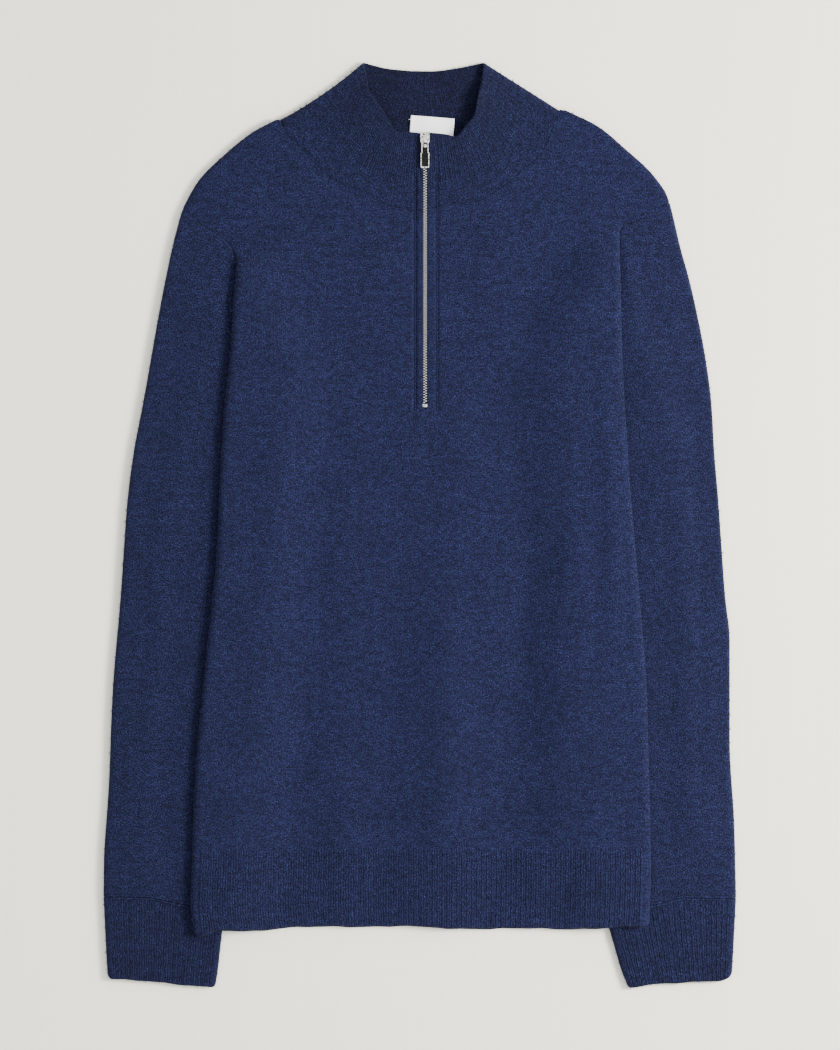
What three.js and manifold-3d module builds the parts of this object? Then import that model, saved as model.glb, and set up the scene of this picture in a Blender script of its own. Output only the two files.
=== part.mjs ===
// A quarter zip sweater laid flat on its back, in millimetres.
// +Y points to the collar, +Z up from the surface, and the origin is under the middle of its outline.
// Each cloth piece is a thin knit wall: an outer skin and an inner skin of points, joined by rims.
import * as THREE from "three";
import { mergeVertices } from "three/addons/utils/BufferGeometryUtils.js";
import Module from "manifold-3d";

// Knit and how it lies
const WALL = 2.4;
const GAP = 0.4; // between pieces at a seam
const LAID = 6.8; // two walls and the air between them
const UNDER = LAID + GAP; // height of the body's underside where it lies on a sleeve
const SIDE_TOP = 14.8; // height of the body's sides over the sleeves
const STEP = 44; // width of the slope from a side down to the middle
const ROLL = 7; // radius of the rolled side edges and shoulders
const RIB = 0.7; // height of a rib
const RIB_PITCH = 4.33;
const CUFF_ROLL = 5;
const CUFF_SEAM_GAP = 0.9;
const CROWN = 1.5; // how much a sleeve rises beside the body

// Levels along Y
const HEM_TOP = -282.5;
const SLIT_END = 102.5;
const ZIP_X = 5;
const SLIT_HALF = 2.4;

// Outer edge of the body from the collar down, with roll 1 where the edge rolls over
// and 0 where it is sewn to a sleeve, and lift, the share of its rise onto the sleeve.
const BODY_LEFT = [
  { y: 353.5, x: -126, roll: 1, lift: 0 },
  { y: 344, x: -144.5, roll: 1, lift: 0 },
  { y: 323, x: -171, roll: 1, lift: 0 },
  { y: 302, x: -192, roll: 1, lift: 0 },
  { y: 283.5, x: -203, roll: 1, lift: 0 },
  { y: 275.5, x: -206.5, roll: 1, lift: 0 },
  { y: 271, x: -201, roll: 0, lift: 0 },
  { y: 260, x: -186.5, roll: 0, lift: 0 },
  { y: 249.5, x: -170, roll: 0, lift: 0 },
  { y: 241.5, x: -163, roll: 0, lift: 0 },
  { y: 235.5, x: -160, roll: 1, lift: 0.35 },
  { y: 221.5, x: -160, roll: 1, lift: 1 },
  { y: 197, x: -162, roll: 1, lift: 1 },
  { y: 166, x: -163.5, roll: 1, lift: 1 },
  { y: 83, x: -171.5, roll: 1, lift: 1 },
  { y: -28, x: -177, roll: 1, lift: 1 },
  { y: -111, x: -185.5, roll: 1, lift: 1 },
  { y: -221.5, x: -195.5, roll: 1, lift: 1 },
  { y: -304.5, x: -198.5, roll: 1, lift: 1 },
  { y: -328, x: -199.5, roll: 1, lift: 1 },
  { y: -358, x: -196, roll: 1, lift: 1 },
];
const BODY_RIGHT = [
  { y: 362, x: 128.5, roll: 1, lift: 0 },
  { y: 349, x: 155.5, roll: 1, lift: 0 },
  { y: 328, x: 181, roll: 1, lift: 0 },
  { y: 307, x: 203.5, roll: 1, lift: 0 },
  { y: 287, x: 217, roll: 1, lift: 0 },
  { y: 281.5, x: 218.5, roll: 1, lift: 0 },
  { y: 279.5, x: 212.5, roll: 0, lift: 0 },
  { y: 273, x: 195, roll: 0, lift: 0 },
  { y: 262.5, x: 176.5, roll: 0, lift: 0 },
  { y: 257, x: 175, roll: 1, lift: 0.3 },
  { y: 239, x: 175, roll: 1, lift: 1 },
  { y: 197, x: 176, roll: 1, lift: 1 },
  { y: 166, x: 176.5, roll: 1, lift: 1 },
  { y: 55, x: 182.5, roll: 1, lift: 1 },
  { y: -55, x: 191.5, roll: 1, lift: 1 },
  { y: -138.5, x: 198, roll: 1, lift: 1 },
  { y: -221.5, x: 200.5, roll: 1, lift: 1 },
  { y: -304.5, x: 202, roll: 1, lift: 1 },
  { y: -350, x: 200.5, roll: 1, lift: 1 },
];
// Seam of the collar on the front, from the shoulder to the zip
const NECK_LEFT = [
  { y: 353.5, x: -122 },
  { y: 345, x: -117.5 },
  { y: 334, x: -107 },
  { y: 313, x: -87 },
  { y: 301, x: -73 },
  { y: 291.5, x: -50 },
  { y: 279, x: -25.5 },
  { y: 274, x: ZIP_X - SLIT_HALF },
];
const NECK_RIGHT = [
  { y: 362, x: 122.5 },
  { y: 323.5, x: 107 },
  { y: 311.5, x: 92.5 },
  { y: 297.5, x: 77 },
  { y: 281.5, x: 48 },
  { y: 279, x: 28 },
  { y: 276, x: ZIP_X + SLIT_HALF },
];
// Seam of the collar on the back, under the front
const BACK_NECK_LEFT = [
  { y: 353.5, x: -122 },
  { y: 346.5, x: -104.5 },
  { y: 334, x: -60.5 },
  { y: 328, x: -0.5 },
];
const BACK_NECK_RIGHT = [
  { y: 362, x: 122.5 },
  { y: 347.5, x: 105.5 },
  { y: 334, x: 62 },
  { y: 328, x: 1.5 },
];
// Top edge of the collar: its front ends and its back
const COLLAR_TOP_LEFT = [
  { y: 404, x: -49 },
  { y: 387.5, x: -45.5 },
  { y: 379, x: -44.5 },
  { y: 371, x: -39 },
  { y: 359.5, x: -31 },
  { y: 343, x: -19 },
  { y: 342.5, x: -9 },
  { y: 341, x: ZIP_X - SLIT_HALF },
];
const COLLAR_TOP_RIGHT = [
  { y: 404, x: 56.5 },
  { y: 387.5, x: 55 },
  { y: 376.5, x: 52 },
  { y: 356.5, x: 48 },
  { y: 350, x: 42.5 },
  { y: 338.5, x: 31.5 },
  { y: 340.5, x: 22.5 },
  { y: 342, x: ZIP_X + SLIT_HALF },
];
const COLLAR_TOP_BACK = [
  { y: 404, x: -49 },
  { y: 398.5, x: -25.5 },
  { y: 396.5, x: 0 },
  { y: 396.5, x: 11 },
  { y: 399.5, x: 35.5 },
  { y: 404, x: 56.5 },
];
// Outer edge of each sleeve from the shoulder to the cuff
const SLEEVE_EDGE_LEFT = [
  { y: 275.5, x: -206.5 },
  { y: 265, x: -210 },
  { y: 244, x: -215.5 },
  { y: 211, x: -222.5 },
  { y: 179.5, x: -228.5 },
  { y: 148, x: -234 },
  { y: 106, x: -241.5 },
  { y: 64, x: -249.5 },
  { y: 22, x: -255 },
  { y: -62, x: -261 },
  { y: -146, x: -268 },
  { y: -230, x: -271.5 },
  { y: -290, x: -275.5 },
  { y: -324, x: -276 },
];
const SLEEVE_EDGE_RIGHT = [
  { y: 281.5, x: 218.5 },
  { y: 265, x: 223 },
  { y: 244, x: 228 },
  { y: 211, x: 237 },
  { y: 179.5, x: 244 },
  { y: 148, x: 250 },
  { y: 106, x: 255.5 },
  { y: 64, x: 258 },
  { y: 22, x: 261.5 },
  { y: -62, x: 267.5 },
  { y: -104, x: 271.5 },
  { y: -188, x: 271.5 },
  { y: -261.5, x: 275.5 },
  { y: -325.5, x: 277 },
];
// Armhole seam from the shoulder to the underarm, which is hidden
const ARMHOLE_LEFT = [
  { y: 275.5, x: -206.5 },
  { y: 271, x: -201 },
  { y: 260, x: -186.5 },
  { y: 249.5, x: -170 },
  { y: 241.5, x: -163 },
  { y: 235.5, x: -160 },
  { y: 221.5, x: -160 },
  { y: 180, x: -141 },
  { y: 130, x: -124 },
];
const ARMHOLE_RIGHT = [
  { y: 281.5, x: 218.5 },
  { y: 279.5, x: 212.5 },
  { y: 273, x: 195 },
  { y: 262.5, x: 176.5 },
  { y: 257, x: 175 },
  { y: 239, x: 175 },
  { y: 195, x: 152 },
  { y: 140, x: 134 },
];
// Seam and free end of each cuff, from its outer to its inner edge
const CUFF_SEAM_LEFT = [
  { y: -324, x: -276 },
  { y: -324.5, x: -241 },
  { y: -330.5, x: -206.5 },
  { y: -335, x: -170 },
];
const CUFF_SEAM_RIGHT = [
  { y: -325.5, x: 277 },
  { y: -325, x: 232.5 },
  { y: -331.5, x: 202 },
  { y: -336, x: 161.5 },
];
const CUFF_END_LEFT = [
  { y: -395.5, x: -272.5 },
  { y: -398.5, x: -236 },
  { y: -403.5, x: -177.5 },
];
const CUFF_END_RIGHT = [
  { y: -394.5, x: 273.5 },
  { y: -398, x: 262 },
  { y: -400, x: 210 },
  { y: -404.5, x: 181 },
];
// Lower edge of the front's hem, across its whole width
const HEM_EDGE = [
  { x: -200, y: -354 },
  { x: -192.5, y: -357 },
  { x: -171.5, y: -352.5 },
  { x: -143, y: -352.5 },
  { x: -115, y: -350 },
  { x: -17, y: -349 },
  { x: 27, y: -351 },
  { x: 123, y: -351 },
  { x: 202, y: -348.5 },
];
// Soft folds down the front: where the crest runs, its half width and its height
const FOLDS = [
  { x: 29, top: 120, foot: -300, half: 30, height: 1.5 },
  { x: 134, top: 30, foot: -310, half: 26, height: 1.3 },
  { x: -66, top: 60, foot: -300, half: 28, height: 0.9 },
];

// Interpolates a table's column at a value of another column that runs one way.
function at(table, by, value, column) {
  const rising = table.at(-1)[by] > table[0][by];
  const rows = rising ? table : table.toReversed();
  if (value <= rows[0][by]) return rows[0][column];
  for (let i = 1; i < rows.length; i++) {
    const a = rows[i - 1];
    const b = rows[i];
    if (value <= b[by]) {
      const share = (value - a[by]) / (b[by] - a[by]);
      return a[column] + share * (b[column] - a[column]);
    }
  }
  return rows.at(-1)[column];
}

const lengthOf = (a, b) => Math.hypot(b.x - a.x, b.y - a.y);

// Shares of a table's length at which its rows lie.
function shares(table) {
  const lengths = [0];
  for (let i = 1; i < table.length; i++) {
    lengths.push(lengths.at(-1) + lengthOf(table[i - 1], table[i]));
  }
  return lengths.map((l) => l / lengths.at(-1));
}

// Point at a share of a table's length.
function along(table, share) {
  const marks = shares(table);
  let i = 1;
  while (i < marks.length - 1 && share > marks[i]) i++;
  const t = (share - marks[i - 1]) / (marks[i] - marks[i - 1]);
  return new THREE.Vector2(table[i - 1].x, table[i - 1].y).lerp(table[i], t);
}

const smooth = (t) => THREE.MathUtils.smoothstep(t, 0, 1);
const mix = THREE.MathUtils.lerp;

// A point of a skin with w, its place along the row.
const point = (x, y, z, w) => ({ x, y, z, w });

// Triangles between two rows of points, which may differ in number.
function band(faces, rowA, rowB, flip = false) {
  let i = 0;
  let j = 0;
  while (i < rowA.length - 1 || j < rowB.length - 1) {
    const endA = i === rowA.length - 1;
    const endB = j === rowB.length - 1;
    const stepA = endB || (!endA && rowA[i + 1].w <= rowB[j + 1].w + 1e-9);
    const third = stepA ? rowA[i + 1] : rowB[j + 1];
    const face = [rowA[i], third, rowB[j]];
    faces.push(flip ? face.reverse() : face);
    if (stepA) i++;
    else j++;
  }
}

function skin(faces, rows, flip) {
  for (let k = 1; k < rows.length; k++) band(faces, rows[k - 1], rows[k], flip);
}

// Takes one end of each row as a line, with w counted from its start.
const edgeLine = (rows, end) => rows.map((row, w) => ({ ...row.at(end), w }));

// A mesh from faces, turned outwards.
function meshOf(name, faces, material) {
  let volume = 0;
  for (const [a, b, c] of faces) {
    volume += a.x * (b.y * c.z - b.z * c.y) + a.y * (b.z * c.x - b.x * c.z);
    volume += a.z * (b.x * c.y - b.y * c.x);
  }
  const turned = volume < 0 ? faces.map((f) => f.toReversed()) : faces;
  const geometry = new THREE.BufferGeometry().setFromPoints(turned.flat());
  geometry.computeVertexNormals();
  const mesh = new THREE.Mesh(geometry, material);
  mesh.name = name;
  return mesh;
}

// A wall between an outer and an inner skin: a closed tube, or an open strip with rims at its ends.
function wall(name, outer, inner, closed, material) {
  const faces = [];
  skin(faces, outer, false);
  skin(faces, inner, true);
  band(faces, inner[0], outer[0]);
  band(faces, outer.at(-1), inner.at(-1));
  if (!closed) {
    band(faces, edgeLine(outer, 0), edgeLine(inner, 0));
    band(faces, edgeLine(inner, -1), edgeLine(outer, -1));
  }
  return meshOf(name, faces, material);
}

const navy = new THREE.MeshStandardMaterial({ color: 0x273154, roughness: 0.95 });
const navyRib = new THREE.MeshStandardMaterial({ color: 0x2a3456, roughness: 0.95 });
const tapeCloth = new THREE.MeshStandardMaterial({ color: 0x1f2947, roughness: 0.9 });
const metal = new THREE.MeshStandardMaterial({ color: 0xd8d2c0, roughness: 0.3, metalness: 1 });
const labelCloth = new THREE.MeshStandardMaterial({ color: 0xf4f4f2, roughness: 0.8 });

const LEFT = {
  name: "left",
  sign: -1,
  body: BODY_LEFT,
  neck: NECK_LEFT,
  backNeck: BACK_NECK_LEFT,
  collarTop: COLLAR_TOP_LEFT,
  sleeve: SLEEVE_EDGE_LEFT,
  armhole: ARMHOLE_LEFT,
  cuffSeam: CUFF_SEAM_LEFT,
  cuffEnd: CUFF_END_LEFT,
};
const RIGHT = {
  name: "right",
  sign: 1,
  body: BODY_RIGHT,
  neck: NECK_RIGHT,
  backNeck: BACK_NECK_RIGHT,
  collarTop: COLLAR_TOP_RIGHT,
  sleeve: SLEEVE_EDGE_RIGHT,
  armhole: ARMHOLE_RIGHT,
  cuffSeam: CUFF_SEAM_RIGHT,
  cuffEnd: CUFF_END_RIGHT,
};
// Inner edge of each sleeve and cuff, hidden under the body
for (const side of [LEFT, RIGHT]) {
  side.hidden = [
    ...side.armhole.slice(-3),
    side.cuffSeam.at(-1),
    side.cuffEnd.at(-1),
  ];
}

function foldHeight(x, y) {
  let height = 0;
  for (const fold of FOLDS) {
    const across = Math.min(1, Math.abs(x - fold.x) / fold.half);
    const ends = smooth((fold.top - y) / 60) * smooth((y - fold.foot) / 40);
    height += fold.height * Math.cos((across * Math.PI) / 2) ** 2 * ends;
  }
  return height;
}

// One half of a body row runs from the outer edge to the middle in four zones, and w counts them:
// the rolled edge, the part over the sleeve, the slope, and the flat middle.
function zones(side, y, middle) {
  const edge = at(side.body, "y", y, "x");
  const total = Math.abs(middle - edge);
  const overSleeve = Math.abs(at(side.hidden, "y", y, "x") - edge) + 1.5 - ROLL;
  const widths = [ROLL, Math.max(2, y < side.hidden[0].y ? overSleeve : 2), STEP];
  const sum = widths[0] + widths[1] + widths[2];
  const squeeze = Math.min(1, (0.85 * total) / sum);
  const marks = [0];
  for (const width of widths) marks.push(marks.at(-1) + width * squeeze);
  return { edge, marks: [...marks, total] };
}

// A point of the body at level y: on its front or back, on the outer or the inner skin.
function bodyPoint(side, face, inner, y, middle, w, rise = 0) {
  const { edge, marks } = zones(side, y, middle);
  const roll = at(side.body, "y", y, "roll");
  const zone = Math.min(3, Math.floor(w));
  const wide = marks[1];
  const turn = (Math.min(w, 1) * Math.PI) / 2;
  const wallIn = Math.min(WALL, 0.6 * wide);
  const rolledIn = wallIn + (wide - wallIn) * (1 - Math.cos(turn));
  const round = wide * (1 - Math.cos(turn));
  let inwards = mix(marks[zone], marks[zone + 1], w - zone);
  if (w < 1) inwards = inner ? mix(round, rolledIn, roll) : round;
  const x = edge - side.sign * inwards;
  const share = w <= 2 ? 1 : 1 - smooth(w - 2);
  const lift = share * at(side.body, "y", y, "lift");
  const base = UNDER * lift;
  const top = mix(LAID, SIDE_TOP, lift) + foldHeight(x, y);
  const seam = (base + top) / 2 + (face === "front" ? GAP / 2 : -GAP / 2);
  const outerZ = face === "front" ? top + rise : base;
  const innerZ = face === "front" ? top - WALL : base + WALL;
  const flatZ = inner ? innerZ : outerZ;
  const z = mix(flatZ, mix(seam, flatZ, Math.sin(turn)), w < 1 ? roll : 0);
  return point(x, y, z, side === LEFT ? w : 9 - w);
}

// The y levels of tables between two limits, in rising order and not closer than 1 mm.
function levels(low, high, ...tables) {
  const all = tables.flat().map((row) => row.y);
  const inside = all.filter((y) => y > low && y < high).sort((a, b) => a - b);
  const kept = [low];
  for (const y of inside) if (y - kept.at(-1) > 1) kept.push(y);
  if (high - kept.at(-1) <= 1) kept.pop();
  return [...kept, high];
}

// One half of a row as points in the order of x.
function halfRow(side, face, inner, y, middle, steps) {
  const row = steps.map((w) => bodyPoint(side, face, inner, y, middle, w));
  return side === LEFT ? row : row.reverse();
}

// Steps of w with three points to a rib, for the row at level y.
function ribSteps(side, y, middle) {
  const { marks } = zones(side, y, middle);
  const steps = [];
  for (let zone = 0; zone < 4; zone++) {
    const width = marks[zone + 1] - marks[zone];
    const ribs = Math.max(1, Math.round(width / RIB_PITCH));
    for (let i = 0; i < 3 * ribs; i++) steps.push({ w: zone + i / (3 * ribs), high: i % 3 > 0 });
  }
  return [...steps, { w: 4, high: false }];
}

// The hem's rows hang from HEM_TOP to the curved lower edge; down runs from 0 to 1 between them.
function hemRow(face, inner, down, ribs, steps) {
  const halves = [LEFT, RIGHT].map((side) => {
    const middle = ZIP_X + side.sign * SLIT_HALF;
    const level = mix(HEM_TOP, -352, down);
    const list = ribs ? ribSteps(side, HEM_TOP, middle) : steps.map((w) => ({ w }));
    const row = list.map(({ w, high }) => {
      const rise = ribs ? ribs * (high ? RIB / 2 : -RIB / 2) : 0;
      const p = bodyPoint(side, face, inner, level, middle, w, w < 0.5 ? 0 : rise);
      const foot = at(HEM_EDGE, "x", p.x, "y") - (face === "back" ? 1.5 : 0);
      return { ...p, y: mix(HEM_TOP, foot, down) };
    });
    return side === LEFT ? row : row.reverse();
  });
  return halves.flat();
}

// The front or back: rows up to where it parts, then a left and a right block up to the shoulders.
function bodyPanel(name, face, steps, parting, middles, necks, lowerLevels, hem) {
  const faces = [];
  const skins = [false, true].map((inner) => {
    const rows = hem.map((row) => hemRow(face, inner, row.down, inner ? 0 : row.ribs, steps));
    for (const y of lowerLevels) {
      const left = halfRow(LEFT, face, inner, y, middles[0], steps);
      const right = halfRow(RIGHT, face, inner, y, middles[1], steps);
      rows.push([...left, ...right]);
    }
    const blocks = [LEFT, RIGHT].map((side, i) => {
      const tops = levels(parting, side.body[0].y, side.body, necks[i], side.hidden);
      const upper = tops.slice(1).map((y) => {
        const middle = at(necks[i], "y", y, "x");
        return halfRow(side, face, inner, y, middle, steps);
      });
      const base = rows.at(-1);
      const half = i === 0 ? base.slice(0, steps.length) : base.slice(steps.length);
      return [half, ...upper];
    });
    skin(faces, rows, inner);
    skin(faces, blocks[0], inner);
    skin(faces, blocks[1], inner);
    return { rows, blocks };
  });
  const [outer, inner] = skins;
  band(faces, inner.rows[0], outer.rows[0]);
  const last = steps.length;
  band(faces, outer.rows.at(-1).slice(last - 1, last + 1), inner.rows.at(-1).slice(last - 1, last + 1));
  const ends = [
    { from: outer.rows, to: inner.rows, end: 0 },
    { from: inner.rows, to: outer.rows, end: -1 },
  ];
  [0, 1].forEach((i) => {
    ends.push({ from: outer.blocks[i], to: inner.blocks[i], end: 0 });
    ends.push({ from: inner.blocks[i], to: outer.blocks[i], end: -1 });
    band(faces, outer.blocks[i].at(-1), inner.blocks[i].at(-1));
  });
  for (const { from, to, end } of ends) band(faces, edgeLine(from, end), edgeLine(to, end));
  return meshOf(name, faces, navy);
}

function frontPanel() {
  const steps = [0, 0.35, 0.7, 1, 1.5, 2, 2.25, 2.5, 2.75, 3, 3.3, 3.65, 4];
  const middles = [ZIP_X - SLIT_HALF, ZIP_X + SLIT_HALF];
  const body = [HEM_TOP + 4, -221.5, -180, -138.5, -111, -55, -28, 14, 55, 83, SLIT_END];
  const hem = [
    { down: 1, ribs: 0.6 },
    { down: 0.97, ribs: 1 },
    { down: 0.5, ribs: 1 },
    { down: 0.02, ribs: 0.8 },
  ];
  const necks = [NECK_LEFT, NECK_RIGHT];
  return bodyPanel("front_panel", "front", steps, SLIT_END, middles, necks, body, hem);
}

function backPanel() {
  const steps = [0, 0.5, 1, 2, 2.33, 2.67, 3, 4];
  const parting = BACK_NECK_LEFT.at(-1).y;
  const middles = [BACK_NECK_LEFT.at(-1).x, BACK_NECK_RIGHT.at(-1).x];
  const all = levels(-221.5, parting, BODY_LEFT, BODY_RIGHT, LEFT.hidden, RIGHT.hidden);
  const hem = [
    { down: 1, ribs: 0 },
    { down: 0.02, ribs: 0 },
  ];
  const necks = [BACK_NECK_LEFT, BACK_NECK_RIGHT];
  return bodyPanel("back_panel", "back", steps, parting, middles, necks, [HEM_TOP + 4, ...all], hem);
}

// A ring of a flattened tube lies along a line on the ground, from its outer edge to its inner edge.
// place(share) gives the line's points, top(share) the height of the ring, steps the shares on top
// and under those below.
function tubeRing(place, length, radius, top, steps, under, inner, rise) {
  const ring = [];
  const wallIn = inner ? WALL : 0;
  const turnPoint = (degrees, far) => {
    const turn = THREE.MathUtils.degToRad(degrees);
    const inwards = (wallIn + (radius - wallIn) * (1 - Math.cos(turn))) / length;
    const share = far ? 1 - inwards : inwards;
    const p = place(share);
    const half = top(share) / 2;
    return { x: p.x, y: p.y, z: half + (half - wallIn) * Math.sin(turn) };
  };
  [-90, -45, 0, 45].forEach((d) => ring.push(turnPoint(d, false)));
  ring.push(turnPoint(90, false));
  for (const { share, high } of steps) {
    const p = place(share);
    const lifted = inner ? -WALL : rise * (high ? RIB / 2 : -RIB / 2);
    ring.push({ x: p.x, y: p.y, z: top(share) + lifted });
  }
  [90, 45, 0, -45, -90].forEach((d) => ring.push(turnPoint(d, true)));
  for (const share of under) {
    const p = place(share);
    ring.push({ x: p.x, y: p.y, z: wallIn });
  }
  ring.push(ring[0]);
  return ring.map((p, w) => ({ ...p, w: w / (ring.length - 1) }));
}

const straight = (table) => (share) =>
  new THREE.Vector2(table[0].x, table[0].y).lerp(table.at(-1), share);
const lineLength = (place) => {
  let length = 0;
  for (let i = 1; i <= 8; i++) length += place((i - 1) / 8).distanceTo(place(i / 8));
  return length;
};

// The sleeve's first ring follows the armhole and its last one the cuff seam.
function sleevePlace(side, t) {
  const outer = along(side.sleeve, shares(side.sleeve)[Math.round(t * (side.sleeve.length - 1))]);
  const inner = new THREE.Vector2(side.armhole.at(-1).x, side.armhole.at(-1).y);
  inner.lerp(side.cuffSeam.at(-1), t);
  const ends = [
    { table: side.armhole, weight: Math.max(0, 1 - t / 0.3) },
    { table: side.cuffSeam, weight: Math.max(0, (t - 0.85) / 0.15) },
  ];
  return (share) => {
    const place = outer.clone().lerp(inner, share);
    for (const { table, weight } of ends) {
      const bent = along(table, share).sub(straight(table)(share));
      place.addScaledVector(bent, weight);
    }
    const clear = Math.max(0, 1 - t / 0.1);
    return place.add(new THREE.Vector2(side.sign * 0.6 * clear, -0.3 * clear));
  };
}

function sleeve(side) {
  const count = side.sleeve.length - 1;
  const marks = shares(side.armhole).filter((share) => share > 0.08 && share < 0.58);
  const steps = [...marks, 0.62, 0.74, 0.87].map((share) => ({ share }));
  const under = [0.75, ...marks.toReversed()];
  const rings = (inner) => {
    const list = [];
    for (let k = 0; k <= count; k++) {
      const t = k / count;
      const place = sleevePlace(side, t);
      const crown = CROWN * smooth(t / 0.15) * (1 - smooth((t - 0.92) / 0.08));
      const top = (share) => LAID + (share < 0.5 ? crown * Math.sin(share * 2 * Math.PI) ** 2 : 0);
      list.push(tubeRing(place, lineLength(place), CUFF_ROLL, top, steps, under, inner, 0));
    }
    return list;
  };
  return wall("sleeve_" + side.name, rings(false), rings(true), true, navy);
}

// A cuff is a flattened tube of ribs; its underside is plain where it rests.
function cuff(side) {
  const rows = [0, 0.06, 0.5, 0.94, 1];
  const top = () => LAID - RIB / 2;
  const rings = (inner) =>
    rows.map((down) => {
      const place = (share) => {
        const seam = along(side.cuffSeam, share).add(new THREE.Vector2(0, -CUFF_SEAM_GAP));
        return seam.lerp(along(side.cuffEnd, share), down);
      };
      const length = lineLength(place);
      const low = CUFF_ROLL / length;
      const ribs = Math.round((length - 2 * CUFF_ROLL) / RIB_PITCH);
      const count = inner ? 5 : 3 * ribs;
      const steps = [];
      for (let i = 1; i < count; i++) {
        steps.push({ share: mix(low, 1 - low, i / count), high: i % 3 > 0 });
      }
      const rise = down === 0 || down === 1 ? 0.5 : 1;
      return tubeRing(place, length, CUFF_ROLL, top, steps, [0.75, 0.5, 0.25], inner, rise);
    });
  return wall("cuff_" + side.name, rings(false), rings(true), true, navyRib);
}

// Collar: how far it stands up between its seam (up 0) and its top edge (up 1)
const RISE_MIDDLE = 6.5;
const RISE_ZIP = 5.2;
const COLLAR_RIBS = 28; // on each front end
const BACK_RIBS = 32;
const COLLAR_ROLL = 6;
const FOLD_BOW = 2.6; // how far the left fold bends in

// round runs from the fold at the shoulder (0) to the zip (1).
function collarRise(round, up) {
  const height = RISE_MIDDLE * smooth(round / 0.4);
  return up ** 1.3 * (height - (RISE_MIDDLE - RISE_ZIP) * smooth((round - 0.4) / 0.6));
}

const ribShare = (up) => smooth((up - 0.08) / 0.3);

function collarFront(side, round, up) {
  const seam = along(side.neck, round);
  seam.add(new THREE.Vector2(-side.sign * 0.35 * (1 - round), 0.45));
  const place = seam.lerp(along(side.collarTop, round), up);
  return bowed(place, side, (1 - round) ** 3, up);
}

// The left fold bends in a little, and the right one is straight.
function bowed(place, side, share, up) {
  const bow = side === LEFT ? FOLD_BOW * 4 * up * (1 - up) * share : 0;
  return place.add(new THREE.Vector2(0.5 * bow, -0.85 * bow));
}

const BACK_SEAM = [...BACK_NECK_LEFT, ...BACK_NECK_RIGHT.toReversed()];

// round runs across the back from the left fold (0) to the right one (1).
function collarBack(round, up) {
  const seam = along(BACK_SEAM, round);
  const left = along(LEFT.neck, 0);
  const shift = 0.35 * (1 - 2 * round);
  seam.add(new THREE.Vector2(shift, mix(0.45, 0.6, Math.sin(round * Math.PI))));
  if (round === 0) seam.copy(left).add(new THREE.Vector2(0.35, 0.45));
  const place = seam.lerp(along(COLLAR_TOP_BACK, round), up);
  return bowed(place, LEFT, (1 - round) ** 3, up);
}

function frontLength(side, up) {
  return lineLength((share) => collarFront(side, share, up));
}

// The rolled fold of the collar at a shoulder, from its front (90 degrees) to its back (-90).
function collarFold(side, up, inner, wStart) {
  const wallIn = inner ? WALL : 0;
  const frontLong = frontLength(side, up);
  const backLong = lineLength((share) => collarBack(share, up));
  const points = [60, 30, 0, -30, -60].map((degrees, i) => {
    const turn = THREE.MathUtils.degToRad(degrees);
    const inwards = wallIn + (COLLAR_ROLL - wallIn) * (1 - Math.cos(turn));
    const front = collarFront(side, inwards / frontLong, up);
    const share = inwards / backLong;
    const back = collarBack(side === LEFT ? share : 1 - share, up);
    const place = degrees > 0 ? front : degrees < 0 ? back : front.lerp(back, 0.5);
    const z = LAID / 2 + (LAID / 2 - wallIn) * Math.sin(turn);
    return { x: place.x, y: place.y, z, w: wStart + (i + 1) / 6 };
  });
  if (side === LEFT) return points;
  return points.reverse().map((p, i) => ({ ...p, w: wStart + (i + 1) / 6 }));
}

// One row of the collar: left front, left fold, back, right fold, right front.
function collarRow(up, inner) {
  const frontCount = inner ? 8 : 3 * COLLAR_RIBS;
  const backCount = inner ? 3 * BACK_RIBS : 8;
  const rib = (i) => ribShare(up) * (i % 3 > 0 ? RIB / 2 : -RIB / 2);
  const front = (side) => {
    const start = COLLAR_ROLL / frontLength(side, up);
    const row = [];
    for (let i = 0; i <= frontCount; i++) {
      const round = mix(start, 1, i / frontCount);
      const p = collarFront(side, round, up);
      const z = LAID + collarRise(round, up) + (inner ? -WALL : rib(i));
      const w = side === LEFT ? 1 - i / frontCount : 4 + i / frontCount;
      row.push(point(p.x, p.y, z, w));
    }
    return side === LEFT ? row.reverse() : row;
  };
  const back = [];
  const start = COLLAR_ROLL / lineLength((share) => collarBack(share, up));
  for (let i = 0; i <= backCount; i++) {
    const p = collarBack(mix(start, 1 - start, i / backCount), up);
    back.push(point(p.x, p.y, inner ? WALL + rib(i) : 0, 2 + i / backCount));
  }
  const foldLeft = collarFold(LEFT, up, inner, 1);
  const foldRight = collarFold(RIGHT, up, inner, 3);
  return [...front(LEFT), ...foldLeft, ...back, ...foldRight, ...front(RIGHT)];
}

function collar() {
  const ups = [0, 0.14, 0.34, 0.62, 0.95, 1];
  const rows = (inner) => ups.map((up) => collarRow(up, inner));
  return wall("collar", rows(false), rows(true), false, navyRib);
}

// Zip: sizes, and its height, which follows the front and the collar
const TAPE_WIDE = 12;
const TAPE_THICK = 0.8;
const TAPE_LOW = 99;
const TAPE_HIGH = 337;
const CHAIN_HALF = 1.9;
const CHAIN_LOW = 106;
const CHAIN_HIGH = 332.4;
const NECK_Y = 274;
const COLLAR_Y = 341;
const zipUp = (y) => RISE_ZIP * Math.max(0, (y - NECK_Y) / (COLLAR_Y - NECK_Y)) ** 1.3;
const tapeTop = (y) => LAID + zipUp(y) - WALL - GAP;

// A flat strip along Y between two x values, whose bottom and top follow functions of y.
function strip(name, x0, x1, ys, bottom, top, material) {
  const rows = (z) => ys.map((y) => [point(x0, y, z(y), 0), point(x1, y, z(y), 1)]);
  return wall(name, rows(top), rows(bottom), false, material);
}

const zipLevels = (low, high) => {
  const inside = [NECK_Y, 287, 300, 314, 327].filter((y) => y > low && y < high);
  return [low, ...inside, high];
};

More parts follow.
